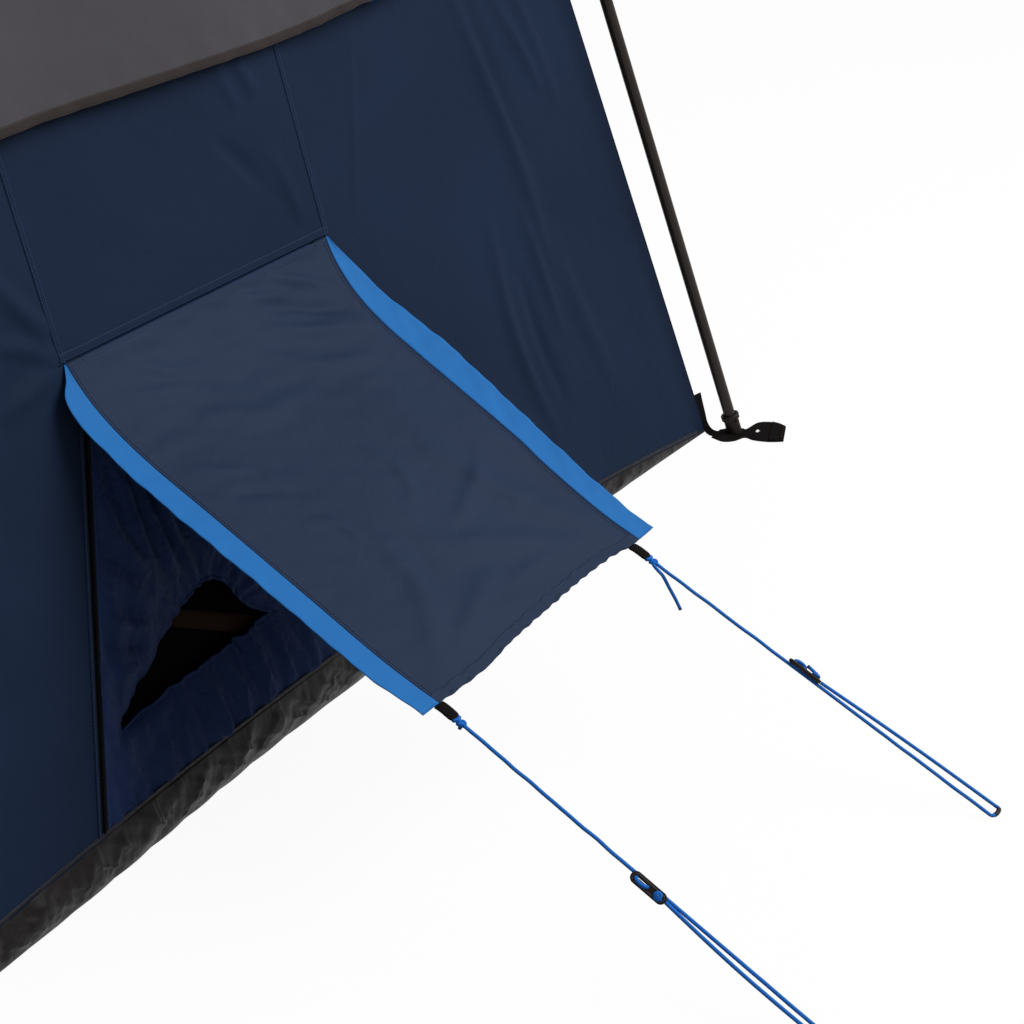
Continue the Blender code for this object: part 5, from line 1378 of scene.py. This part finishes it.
@dataclass
class Tub:
    """Floor sheet and the tub's skirt of coated tarpaulin, rumpled, with its sewn upper edge."""

    columns: int = 420
    rows: int = 19
    rumple: float = 0.0028
    near_swell: float = 0.014
    sheet_t: float = 0.0015

    def skirt(self, inward: float) -> Array:
        """Grid of the skirt: its depth falls from the tuck to the wall, less a swell of half a sine."""
        share = np.linspace(0, 1, self.rows)[:, None]
        parts = []
        for side, sign in ((Side.RIGHT, 1), (Side.REAR, -1), (Side.LEFT, -1), (Side.FRONT, 1)):
            u = np.linspace(-side.half * sign, side.half * sign, self.columns)[None, :-1]
            top = tub_top(u, side.half) - 0.0003
            tuck = TUB_TUCK * (1 - (u / side.half) ** 2)
            fade = np.sin(pi * share) * smoothstep(top, 0.01, 0.05)
            rumple = swells(u, top * share * 2.5, 41 + sign, 0.075, self.rumple, 1.5)
            rumple = rumple + swells(u, top * share * 4, 53 + sign, 0.028, self.rumple * 0.45, 1.2)
            for seed, lean in ((59, 0.9), (63, -0.7), (65, 1.6)):
                crease = swells(u + lean * top * share, top * share, seed + sign, 0.11, 1.0, 2.5)
                rumple = rumple - 0.0026 * np.exp(-(crease / 0.22) ** 2)
            edge = (np.abs(swells(u, 0 * u, 67 + sign, 0.16, 0.003)) + self.near_swell * (side is Side.RIGHT)
                    * smoothstep(-u, 0.05, 0.6)) * (1 - share) * smoothstep(top, 0.01, 0.05)
            depth = tuck * (1 - share) - TUB_BULGE * tuck * np.sin(pi * share) + inward + fade * rumple - edge
            lean = SIDE_LEAN if side.value[0] == "y" else END_LEAN
            limit = side.half - lean * top * share - inward
            parts.append(on_wall(side, np.clip(u, -limit, limit), top * share, depth))
        return np.concatenate(parts, axis=1)

    def build(self) -> None:
        """Make the skirt, the floor and the seam between the skirt and the walls."""
        outer = self.skirt(0.0)
        layers = two_layers(outer, self.skirt(self.sheet_t), True)
        piece = make_piece("tub_cloth", layers, TARPAULIN, uv=np.concatenate([grid_map(outer)] * 2), node="tub_skirt")
        edge = 0.0024
        x, y = np.meshgrid(np.linspace(-1, 1, 121), np.linspace(-1, 1, 81))
        reach_x = HALF_W - TUB_TUCK * (1 - y ** 2) - edge
        reach_y = HALF_D - TUB_TUCK * (1 - x ** 2) - edge
        rise = np.abs(swells(x * HALF_W, y * HALF_D, 61, 0.5, 0.0009, 1.0))
        grid = np.stack([x * reach_x, y * reach_y, self.sheet_t / 2 + rise], axis=-1)
        sheet_piece("floor_cloth", grid, TARPAULIN, "stretched", [], thickness=self.sheet_t, node="floor_sheet")
        for side in Side:
            self.seam(side)

    def seam(self, side: Side) -> None:
        """Lapped seam along the top of the skirt, with one row of stitches."""
        u = np.linspace(-side.half + 0.03, side.half - 0.03, 160)
        top = tub_top(u, side.half)
        out = side.outward
        name = side.name.lower()
        band_piece("tub_seam_" + name, on_wall(side, u, top + 0.003, -0.0007), out, 0.0055, 0.001, TARPAULIN,
                   crown=0.0005)
        stitch_piece("stitches_tub_" + name, [on_wall(side, u, top + 0.0048, -0.0016)], out, NAVY_THREAD)


def between(index: Array, marks: tuple[int, ...], values: tuple) -> Array:
    """Value at each whole number, run evenly from each mark's value to the next one's."""
    out = values[0]
    for start, end, low, high in zip(marks, marks[1:], values, values[1:]):
        out = np.where(index > start, low + (high - low) * (index - start) / max(end - start, 1), out)
    return out


@dataclass
class PlainWall:
    """Wall of one piece, with or without an opening, and its slack."""

    side: Side
    node: str
    seed: int
    half_at: Callable = wall_x
    opening: tuple[float, float | None, float] | None = None
    cell: float = 0.016
    slack: float = 0.003

    def relief(self, u: Array, z: Array) -> Array:
        """Slack that fades at the corners, the tub and the eave, and round the opening."""
        fade = smoothstep(self.half_at(z) - np.abs(u), 0.0, 0.2)
        fade = fade * smoothstep(z - tub_top(u, self.side.half), 0.0, 0.12) * smoothstep(EAVE_Z - z, 0.0, 0.1)
        if self.opening:
            half, low, high = self.opening
            apart = np.maximum(np.abs(u) - half, np.maximum(z - high, (low or 0.0) - z))
            fade = fade * smoothstep(apart, 0.0, 0.1)
        return fade * swells(u, z, self.seed, 0.3, self.slack, 4.0)

    def build(self) -> None:
        """Lay a grid whose rows and columns follow the opening's edges, and leave its cells out."""
        half, low, high = self.opening or (self.half_at(EAVE_Z) / 2, None, EAVE_Z / 2)
        length = self.side.half
        outside = max(4, round((length - half) / self.cell))
        inside = max(4, round(2 * half / self.cell))
        under = 0 if low is None else max(3, round(low / self.cell))
        beside = max(4, round((high - (low or 0)) / self.cell))
        over = max(3, round((EAVE_Z - high) / self.cell))
        rows = (0, under, under + beside, under + beside + over)
        columns = (0, outside, outside + inside, 2 * outside + inside)
        r, c = np.arange(rows[-1] + 1)[:, None], np.arange(columns[-1] + 1)[None, :]

        def height(u: Array) -> Array:
            foot = tub_top(u, length) - 0.002
            return between(r, rows, (foot, foot if low is None else low, high, EAVE_Z))

        z = height(np.zeros(c.shape))
        for _ in range(3):
            end = self.half_at(z) - CORNER_GAP
            u = between(c, columns, (-end, -half, half, end))
            z = height(u)
        grid = on_wall(self.side, u, z, -self.relief(u, z))
        name = "cloth_" + self.node
        if not self.opening:
            sheet_piece(name, grid, NAVY, "stretched", ["tub_cloth"], node=self.node)
            return
        keep = np.ones((rows[-1], columns[-1]), bool)
        keep[under:under + beside, outside:outside + inside] = False
        piece = cloth_piece(name, grid, NAVY, keep=keep, node=self.node)
        width = 2 * float(self.half_at(0.0))
        gone = 2 * half * (high - (low if low is not None else TUB_HEIGHT))
        area = (width + 2 * self.half_at(EAVE_Z)) / 2 * (EAVE_Z - 0.05) - gone


@dataclass
class CornerBindings:
    """Bound seams down the four corners of the walls."""

    radius: float = 0.0022

    def build(self) -> None:
        """A cord-filled binding on the line where two walls meet, from the eave to the ground."""
        z = np.linspace(EAVE_Z, 0.01, 60)
        for sx, sy, name in corners():
            path = np.stack([sx * (wall_x(z) - 0.0008), sy * (wall_y(z) - 0.0008), z], axis=-1)
            cord_piece("corner_binding_" + name, path, self.radius, np.array([sx, -sy, 0.1]), NAVY, sides=8)


def corners() -> list[tuple[int, int, str]]:
    """Signs of x and y and the name of each corner."""
    return [(sx, sy, f"{'front' if sy < 0 else 'rear'}_{'left' if sx < 0 else 'right'}")
            for sy in (-1, 1) for sx in (-1, 1)]


@dataclass
class Window:
    """Rear window: netting, the binding round it, and a flap inside that drops about its lower edge."""

    half: float = 0.5
    low: float = 0.75
    high: float = 1.2
    lap: float = 0.03

    def build(self) -> None:
        """Make the netting, the binding with its stitches and the flap with its hem."""
        side = Side.REAR
        u, z = np.meshgrid(np.linspace(-self.half, self.half, 60), np.linspace(self.low, self.high, 30))
        edge = np.minimum(self.half - np.abs(u), np.minimum(z - self.low, self.high - z))
        slack = 0.002 * smoothstep(edge, 0, 0.2) + swells(u, z, 71, 0.3, 0.0008) * smoothstep(edge, 0, 0.1)
        grid = on_wall(side, u, z, -slack)
        sheet_piece("window_netting", grid, BLACK_NET, "stretched", ["cloth_rear_wall"], thickness=NET_T,
                    node="rear_window_mesh")
        out = side.outward
        rows = []
        for name, start, end in (("low", (-1, self.low), (1, self.low)), ("high", (-1, self.high), (1, self.high)),
                                 ("left", (-1, self.low), (-1, self.high)), ("right", (1, self.low), (1, self.high))):
            share = np.linspace(0, 1, 50)
            reach = self.half + (0.0115 if name in ("low", "high") else 0.0)
            across = (start[0] + (end[0] - start[0]) * share) * reach
            height = start[1] + (end[1] - start[1]) * share
            band_piece("window_binding_" + name, on_wall(side, across, height, -0.0011), out, 0.022, 0.0012, NAVY,
                       crown=0.0005)
            turn = 0.008 * np.array([(0, 1), (0, -1)] if name in ("low", "high") else [(1, 0), (-1, 0)])
            rows += [on_wall(side, across * 0.99 + du, height + dz, -0.0022) for du, dz in turn]
        stitch_piece("stitches_window", rows, out, NAVY_THREAD)
        reach = self.half + self.lap
        low, high = self.low - self.lap + 0.002, self.high + self.lap
        u, z = np.meshgrid(np.linspace(-reach, reach, 70), np.linspace(low, high, 36))
        fade = smoothstep(z - low, 0, 0.08)
        depth = 0.0029 + fade * (0.003 + swells(u, z, 73, 0.35, 0.003))
        sheet_piece("window_flap_cloth", on_wall(side, u, z, depth), NAVY, "hung", ["cloth_rear_wall"],
                    body="window_flap", node="rear_window_flap")
        cloth_piece("window_flap_hem", on_wall(side, u, z, depth + 0.0016)[-4:], NAVY, "window_flap")


@dataclass
class Door:
    """Door leaf in the front wall with a long zip at its free side, its foot and its head."""

    half: float = 0.31
    top: float = 1.28
    inset: float = 0.016
    tape_width: float = 0.01
    tooth: Size = (0.0018, 0.0042, 0.0018)
    tooth_pitch: float = 0.0028

    def build(self) -> None:
        """Make the leaf, its facing and stitches, and the zip's tape and teeth."""
        side = Side.FRONT
        c = np.linspace(0, 1, 44)[None, :]
        r = np.linspace(0, 1, 84)[:, None]
        u = -self.half + 0.002 + (2 * self.half - 0.0025) * c
        low = tub_top(u, side.half) + 0.0005
        z = low + (self.top - 0.0005 - low) * r
        edge = np.minimum(np.minimum(u + self.half, self.half - u), np.minimum(z - low, self.top - z))
        grid = on_wall(side, u, z, 0.0008 - smoothstep(edge, 0, 0.15) * swells(u, z, 81, 0.3, 0.002))
        sheet_piece("door_cloth", grid, NAVY, "hung", ["cloth_front_wall"], body="door", node="door_leaf")
        out = side.outward
        stile = np.linspace(0.11, self.top - 0.02, 100)
        inset_u = self.half - self.inset + 0 * stile
        band_piece("door_facing", on_wall(side, inset_u, stile, -0.0006), out, 0.018, 0.001, NAVY, "door")
        stitch_piece("stitches_door", [on_wall(side, inset_u + d, stile, -0.0015) for d in (-0.006, 0.006)],
                     out, NAVY_THREAD, "door")
        beyond = self.half + 0.0055
        across = np.linspace(-self.half + 0.02, self.half + 0.001, 90)
        up = np.linspace(0.092, self.top + 0.004, 160)
        for name, path in (("side", on_wall(side, beyond + 0 * up, up, -0.001)),
                           ("head", on_wall(side, across, self.top + 0.0055 + 0 * across, -0.001)),
                           ("foot", on_wall(side, across, tub_top(across, side.half) - 0.0055, -0.0012))):
            band_piece("door_zip_tape_" + name, path, out, self.tape_width, TAPE_T, ZIP_TAPE)
            centres, along = spaced(path + np.array(out) * 0.0012, self.tooth_pitch)
            make_piece("door_zip_teeth_" + name, bars(centres, along, out, self.tooth), PLASTIC)


def pyramid(count: int, corner: Size, rise: float, sag: float, edge_sag: float = 0.0) -> Array:
    """Four-sided roof as a square grid whose height falls with the larger share of the way out.

    Args:
        count: points each way.
        corner: half its length, half its width and its corners' height.
        rise: height of the peak over the corners.
        sag: how far each face sags, as half a sine upward and a parabola across.
        edge_sag: how much further it sags at its edge.

    Returns:
        Points by row and column.
    """
    a, b = np.meshgrid(*[np.linspace(-1, 1, count)] * 2)
    ring = np.maximum(np.abs(a), np.abs(b))
    bow = 1 - (np.minimum(np.abs(a), np.abs(b)) / np.maximum(ring, 1e-6)) ** 2
    z = corner[2] + rise * (1 - ring) - sag * bow * np.sin(pi * ring) - edge_sag * bow * ring
    return np.stack([a * corner[0], b * corner[1], z], axis=-1)


@dataclass
class Fly:
    """Rain fly: a four-sided roof, hanging sides with a folded hem, and bright blue corner pieces."""

    roof_sag: float = 0.018
    wave: float = 0.0032
    hem: float = 0.015
    cell: float = 0.012
    hem_line: Line = (-5050, 0, -3000, 5, -1130, -4, -320, -13, 940, -41, 2000, -68, 2600, -82, 3200, -62, 3755, -29,
        4266, 24, 4840, 66, 5050, 50)

    def surface(self, side: Side, u: Array, z: Array, off: Value = 0.0) -> Array:
        """Points on a hanging side: broad waves that grow downward and die out at the corners."""
        axis, sign = side.value
        place, far = (FLY_X, FLY_Y) if axis == "x" else (FLY_Y, FLY_X)
        grow = smoothstep(FLY_EAVE_Z - z, 0.0, 0.45) * smoothstep(far - np.abs(u), 0.0, 0.35)
        seed = 91 + list(Side).index(side)
        pucker = smoothstep(FLY_HEM_Z + 0.09 - z, 0.0, 0.09) * swells(u + 0.5 * z, z, seed + 40, 0.065, 0.0011, 1.5)
        level = sign * (place - CLOTH_T / 2 + grow * (swells(u, z, seed, 0.3, self.wave, 9.0) + pucker) + off)
        parts = (level, u, z) if axis == "x" else (u, level, z)
        return np.stack(np.broadcast_arrays(*parts), axis=-1).astype(float)

    def low(self, side: Side, u: Array) -> Array:
        """Height of the hem along a side; over the vent it dips and rises as the cloth is cut."""
        if side is Side.FRONT:
            return FLY_EAVE_Z - FLY_BROW + 0 * u
        if side is Side.RIGHT:
            line = points_of(self.hem_line)
            return FLY_HEM_Z + np.interp(u, line[:, 0], line[:, 1])
        return FLY_HEM_Z + 0 * u

    def build(self) -> None:
        """Make the roof, the four sides, the corner pieces and their hems."""
        self.roof()
        for side in Side:
            self.side(side)
        for sx, sy, name in corners():
            self.gusset(sx, sy, name)

    def roof(self) -> None:
        """Roof over the poles, with stitches along its ridges."""
        grid = pyramid(121, (FLY_X + 0.001, FLY_Y + 0.001, FLY_EAVE_Z - CLOTH_T / 2), FLY_APEX_Z - FLY_EAVE_Z,
                       self.roof_sag, 0.004)
        sheet_piece("fly_roof_cloth", grid, GREY, "stretched", ["roof_pole_front_right", "roof_pole_rear_left"],
                    node="fly_cover")
        rows = []
        for sx, sy, _ in corners():
            line = np.linspace(0.02, 0.98, 160)
            height = FLY_EAVE_Z + (FLY_APEX_Z - FLY_EAVE_Z) * (1 - line) + 0.0006
            rows += [np.stack([sx * line * FLY_X + d * sx, sy * line * FLY_Y - d * sy, height - abs(d) * 0.3], axis=-1)
                     for d in (-0.004, 0.004)]
        stitch_piece("stitches_fly_roof", rows, UPWARD, GREY_THREAD, pitch=0.008, width=0.0009)

    def side(self, side: Side) -> None:
        """Hanging side between the corner pieces, its darker folded hem and the hem's stitches."""
        far = (FLY_Y if side.value[0] == "x" else FLY_X) - GUSSET_WIDTH
        u = np.linspace(-far, far, round(2 * far / self.cell))[None, :]
        low = self.low(side, u)
        z = low + (FLY_EAVE_Z - 0.001 - low) * np.linspace(0, 1, max(8, round(0.5 / self.cell)))[:, None]
        name = side.name.lower()
        sheet_piece("fly_side_" + name, self.surface(side, u, z), GREY, "hung", ["fly_roof_cloth"])
        share = np.linspace(0, 1, 5)[:, None]
        fold = self.surface(side, u, low + self.hem * share, 0.001 * np.sin(pi * (0.2 + 0.8 * share)))
        cloth_piece("fly_hem_" + name, fold, GREY_HEM, thickness=FOLD_T)
        across = np.linspace(-far, far, 200)
        foot = self.low(side, across)
        rows = [self.surface(side, across, foot + self.hem - 0.0015, 0.0016),
                self.surface(side, across, foot + 0.0015, 0.0016)]
        out = np.array([0.0, side.value[1], 0]) if side.value[0] == "y" else np.array([side.value[1], 0.0, 0])
        stitch_piece("stitches_fly_" + name, rows, out, GREY_THREAD)

    def gusset(self, sx: int, sy: int, name: str) -> None:
        """Corner piece whose lower edge sweeps up to the corner as the square of the way there."""
        end_hem = FLY_HEM_Z if sy > 0 else FLY_EAVE_Z - FLY_BROW
        share = np.linspace(-1, 1, 81)[None, :]
        reach = 1 - (1 - np.abs(share)) ** 2
        run = GUSSET_WIDTH * np.abs(share)
        along_side = self.low(Side.RIGHT if sx > 0 else Side.LEFT, sy * (FLY_Y - run))
        hem = np.where(share < 0, along_side, end_hem)
        low = GUSSET_CORNER_Z + (hem - GUSSET_CORNER_Z) * reach
        z = low + (FLY_EAVE_Z - 0.001 - low) * np.linspace(0, 1, 26)[:, None]

        def face(rise: Array, off: float) -> Array:
            on_x = self.surface(Side.RIGHT if sx > 0 else Side.LEFT, sy * (FLY_Y - run), rise, off)
            on_y = self.surface(Side.REAR if sy > 0 else Side.FRONT, sx * (FLY_X - run), rise, off)
            return np.where((share < 0)[..., None], on_x, on_y)

        sheet_piece("fly_corner_" + name, face(z, 0.0), BRIGHT_BLUE, "hung", ["fly_roof_cloth"],
                    node="fly_gusset_" + name)
        rise = low + self.hem * np.linspace(0, 1, 5)[:, None]
        cloth_piece("fly_corner_hem_" + name, face(rise, 0.001), BRIGHT_BLUE, thickness=FOLD_T)
        out = np.array([sx, sy, 0]) / sqrt(2)
        rows = [face(low + d, 0.0022)[0] for d in (0.002, self.hem - 0.0015)]
        seams = [face(z, 0.0014)[:, k] for k in (1, 2, -2, -3)]
        stitch_piece("stitches_fly_corner_" + name, [r[:41] for r in rows] + [r[40:] for r in rows] + seams, out,
                     BLUE_THREAD)


@dataclass
class Ceiling:
    """Ceiling cloth with webbing ties to the elbows and to the hub."""

    sag: float = 0.015
    tie_width: float = 0.01

    def build(self) -> None:
        """Make the cloth as the fly's roof is made, then the ties."""
        half_x, half_y = wall_x(EAVE_Z), wall_y(EAVE_Z)
        grid = pyramid(91, (half_x, half_y, EAVE_Z + 0.001), CEILING_RISE, self.sag)
        piece = cloth_piece("ceiling_cloth", grid, NAVY, node="ceiling")
        for sx, sy, name in corners():
            start = np.array([sx * (half_x - 0.014), sy * (half_y - 0.014), EAVE_Z + 0.006])
            leg = leg_at(sx, sy, EAVE_Z + 0.0035)
            run = leg - start
            share = np.linspace(0, 1, 16)[:, None]
            path = start + run * share * (1 - 0.0105 / np.linalg.norm(run))
            band_piece("ceiling_tie_" + name, path, UPWARD, self.tie_width, 0.0016, BLACK_TAPE)
            profile = ((-5, 13.7), (-5, 15.2), (5, 15.2), (5, 13.7))
            make_piece("tie_ring_" + name, lathe(profile, leg, leg_direction(sx, sy), 24, True), BLACK_TAPE, sharp=40)
        peak = np.stack([np.zeros(12), np.zeros(12), np.linspace(1.788, 1.8438, 12)], axis=-1)
        band_piece("ceiling_tie_peak", peak, np.array([0, 1.0, 0]), 0.02, 0.0018, BLACK_TAPE)


def leg_direction(sx: int, sy: int) -> Array:
    """Unit vector up a leg."""
    return unit(np.array([-sx * 0.252, -sy * 0.155, 1.0]))


def leg_at(sx: int, sy: int, z: float) -> Array:
    """Point on a leg's centre line at a height."""
    direction = leg_direction(sx, sy)
    return np.array([sx * (HALF_W + 0.051), sy * (HALF_D + 0.025), 0]) + direction * z / direction[2]


@dataclass
class PoleFrame:
    """Steel legs and roof poles with their nylon feet, elbows and hub, kept from the part and finished."""

    button_z: float = 0.955

    def build(self, nodes: dict[str, Piece]) -> None:
        """Finish the part's own pieces, then add the feet's lugs and the legs' spring buttons."""
        finishes = {"lower_leg": STEEL, "upper_leg": STEEL, "roof_pole": STEEL, "corner_elbow": PLASTIC,
                    "leg_foot": PLASTIC, "roof_hub": PLASTIC}
        for name, node in nodes.items():
            for start, finish in finishes.items():
                if name.startswith(start):
                    for place in node.material_slots:
                        place.material = finish.material()
        for sx, sy, name in corners():
            self.foot(sx, sy, name)

    def foot(self, sx: int, sy: int, name: str) -> None:
        """Collar lip, two lugs on the foot's rim, and the button that holds the leg's tubes together."""
        axis = leg_direction(sx, sy)
        base = leg_at(sx, sy, 0.0018)
        lip = ((34.5, 11.9), (34.5, 17.2), (36.2, 17.6), (37.8, 16.8), (38.6, 15), (38, 13), (37.2, 11.9))
        make_piece("foot_lip_" + name, lathe(lip, base, axis, 28, True), PLASTIC, sharp=50)
        out = np.array([sx, sy, 0]) / sqrt(2)
        side = np.cross(axis, out)
        parts = []
        for turn in (-1, 1):
            way = out * 0.35 + side * turn
            way = unit(way - axis * (way @ axis))
            parts.append(lathe(((0, 2.8), (3, 2.7), (4.2, 2), (4.6, 1)), base + axis * 0.0285 + way * 0.0165, way, 16))
        make_piece("foot_lugs_" + name, joined(parts), PLASTIC, sharp=50)
        out = unit(out - axis * (out @ axis))
        button = lathe(((-1, 3.2), (1.2, 3.1), (2.2, 2.4), (2.6, 1.2)),
                       leg_at(sx, sy, self.button_z) + out * 0.0108, out, 16)
        make_piece("leg_button_" + name, button, STEEL, sharp=50)


@dataclass
class StakeLoop:
    """Black webbing sewn down the wall's corner, led under the foot and out to an eye for a stake."""

    sx: int
    sy: int
    name: str
    thickness: float = 0.0015

    def sweep(self, stations: tuple[tuple[int, ...], ...], rows: int, columns: int) -> Array:
        """Grid through stations, each a centre and half the width as a vector, in tenths of a millimetre."""
        lines = curve_through(np.array(stations) / 10000, rows)
        share = np.linspace(-1, 1, columns)[None, :, None]
        grid = lines[:, None, :3] + lines[:, None, 3:] * share
        return grid * np.array([self.sx, self.sy, 1.0])

    def build(self) -> None:
        """Make the strap, the pad under the foot and the two-layer leaf with its eye."""
        strap = self.sweep(((15062, 12195, 745, 10, 125, -10),
                            (15100, 12220, 560, 12, 115, -15),
                            (15160, 12235, 360, 16, 90, -20),
                            (15225, 12230, 180, 22, 62, -10),
                            (15300, 12215, 60, 40, 70, -4),
                            (15420, 12190, 16, 30, 110, 0),
                            (15600, 12230, 10, -20, 170, 0)), 56, 7)
        node = "stake_loop_" + self.name
        cloth_piece("corner_strap_" + self.name, strap, BLACK_TAPE, thickness=self.thickness, node=node)
        pad = self.sweep(((15480, 12200, 10, -10, 200, 0),
                          (15700, 12270, 10, -60, 330, 0),
                          (15880, 12360, 14, -60, 290, 2),
                          (16000, 12430, 40, -50, 150, 20),
                          (16160, 12520, 78, -80, 260, 60),
                          (16380, 12610, 84, -100, 300, 64),
                          (16560, 12660, 78, -90, 270, 56),
                          (16690, 12690, 70, -80, 220, 44)), 70, 19)
        u = np.linspace(0, 1, 70)[:-1, None]
        v = np.linspace(-1, 1, 19)[None, :-1] + 1 / 18
        hole = ((u - 0.585) / 0.024) ** 2 + ((v - 0.05) / 0.16) ** 2 < 1
        cloth_piece("stake_loop_webbing_" + self.name, pad, BLACK_TAPE, thickness=self.thickness, keep=~hole, node=node)
        fold = self.sweep(((16420, 12625, 104, -96, 285, 62),
                           (16560, 12662, 98, -88, 262, 56),
                           (16686, 12689, 88, -78, 216, 44)), 24, 9)
        cloth_piece("stake_loop_fold_" + self.name, fold, BLACK_TAPE, thickness=self.thickness)
        row = np.array([[1.664, 1.2678, 0.0112, -0.008, 0.0225, 0.0048]])
        bar = (row[:, :3] + row[:, 3:] * np.linspace(-0.9, 0.9, 9)[:, None]) * np.array([self.sx, self.sy, 1.0])
        band_piece("stake_loop_bar_" + self.name, bar, UPWARD, 0.0035, 0.001, BROWN_TAPE)


@dataclass
class Studio:
    """Camera, lights and a pale floor that a wide white ground fades into."""

    place: Size = (3.2714, -2.2371, 1.7382)
    aim: Size = (-0.4795, 0.758, -0.4422)
    roll: float = -0.0214
    lens: float = 77.705
    floor_size: float = 60.0
    floor_lit: float = 0.22
    floor_glow: float = 0.94
    key: float = 260.0
    sky: float = 0.36

    def camera(self) -> None:
        """Set the photograph's viewpoint: the roll turns the level right and the up vector slightly."""
        forward = Vector(self.aim).normalized()
        right = Vector((-forward.y, forward.x, 0)).normalized() * -1
        above = right.cross(forward)
        turned = (right + sin(self.roll) * above).normalized()
        above = (above - sin(self.roll) * right).normalized()
        data = bpy.data.cameras.new("view")
        data.lens = self.lens
        data.sensor_width = 36.0
        data.clip_end = 200.0
        camera = new_object("view", data)
        camera.matrix_world = Matrix((
            (turned.x, above.x, -forward.x, self.place[0]), (turned.y, above.y, -forward.y, self.place[1]),
            (turned.z, above.z, -forward.z, self.place[2]), (0, 0, 0, 1)))
        bpy.context.scene.camera = camera

    def floor(self) -> None:
        """Matt floor, white to the camera with a faint soft shadow, and darker to the light."""
        half, low = self.floor_size / 2, -0.0006
        mesh = bpy.data.meshes.new("ground")
        mesh.from_pydata([(-half, -half, low), (half, -half, low), (half, half, low), (-half, half, low)], [],
                         [(0, 1, 2, 3)])
        material = bpy.data.materials.new("studio_floor")
        material.use_nodes = True
        tree = material.node_tree
        shader = tree.nodes["Principled BSDF"]
        rays = add_node(tree, "LightPath").outputs
        seen = rays["Is Camera Ray"]
        for ray in ("Is Glossy Ray", "Is Transmission Ray"):
            seen = add_node(tree, "Math", {0: seen, 1: rays[ray]}, operation="MAXIMUM").outputs["Value"]
        mix = add_node(tree, "Mix", {0: seen, 6: (*[self.floor_lit] * 3, 1.0), 7: WHITE}, data_type="RGBA")
        tree.links.new(mix.outputs[2], shader.inputs["Base Color"])
        shader.inputs["Roughness"].default_value = 1.0
        shader.inputs["Specular IOR Level"].default_value = 0.0
        white = add_node(tree, "Emission", {"Color": WHITE, "Strength": 1.0})
        much = add_node(tree, "Math", {0: seen, 1: self.floor_glow}, operation="MULTIPLY")
        both = add_node(tree, "MixShader", {0: much.outputs["Value"], 1: shader.outputs["BSDF"],
                                            2: white.outputs["Emission"]})
        tree.links.new(both.outputs["Shader"], tree.nodes["Material Output"].inputs["Surface"])
        mesh.materials.append(material)
        new_object("ground", mesh)

    def light(self, name: str, place: Size, target: Size, size: float, power: float) -> None:
        """Square area light aimed at a point."""
        data = bpy.data.lights.new(name, "AREA")
        data.size = size
        data.energy = power
        lamp = new_object(name, data)
        way = Vector(target) - Vector(place)
        lamp.matrix_world = Matrix.Translation(place) @ way.to_track_quat("-Z", "Y").to_matrix().to_4x4()

    def lights(self) -> None:
        """Large soft light high in front of the right wall, and even light from the white surroundings."""
        self.light("overhead_light", (4.6, 2.2, 4.2), (1.4, 0.1, 0.5), 4.0, self.key)
        world = bpy.data.worlds.new("studio")
        world.use_nodes = True
        tree = world.node_tree
        back = tree.nodes["Background"]
        path = add_node(tree, "LightPath")
        level = add_node(tree, "MapRange", {"Value": path.outputs["Is Camera Ray"], "To Min": self.sky, "To Max": 1.0})
        tree.links.new(level.outputs["Result"], back.inputs["Strength"])
        back.inputs["Color"].default_value = WHITE
        bpy.context.scene.world = world

    def build(self) -> None:
        """Make the floor and the lights."""
        self.floor()
        self.lights()


def main() -> None:
    """Build the tent in order and report each piece."""
    logging.basicConfig(level=logging.INFO, format="%(name)s: %(message)s")
    for item in list(bpy.data.objects):
        bpy.data.objects.remove(item)
    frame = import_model()
    studio = Studio()
    studio.camera()
    awning = Awning()
    Guyline("front", -1, radians(2.4), 0.351, radians(43.5), 0.0041, 0.012, awning).build()
    Guyline("rear", 1, radians(1.1), 0.304, radians(35.9), 0.0, 0.024, awning).build()
    awning.build()
    RightWall().build()
    Vent().build()
    low, high = (on_wall(Side.RIGHT, -vent_half(z), z, 0.0) for z in (0.55, 0.6))
    lifted = on_wall(Side.RIGHT, -vent_half(0.6), 0.6, -0.003)
    Slider("vent_slider_body", "vent_slider", "vent_zip_slider", lifted, low - high, Side.RIGHT.outward).build()
    Tub().build()
    PlainWall(Side.LEFT, "left_wall_panel", 101, wall_y).build()
    PlainWall(Side.REAR, "rear_wall", 102, wall_x, (0.5, 0.75, 1.2)).build()
    PlainWall(Side.FRONT, "front_wall", 103, wall_x, (0.31, None, 1.28)).build()
    Window().build()
    Door().build()
    Slider("door_slider_body", "door_slider", "door_zip_slider", (0.3155, -1.2083, 0.0957), (0, 0.14834, 0.98894),
           Side.FRONT.outward).build()
    CornerBindings().build()
    Fly().build()
    Ceiling().build()
    PoleFrame().build(frame["nodes"])
    for sx, sy, name in corners():
        StakeLoop(sx, sy, name).build()
    studio.build()
    bpy.context.scene.view_settings.view_transform = "Standard"
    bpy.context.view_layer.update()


if __name__ == "__main__":
    main()
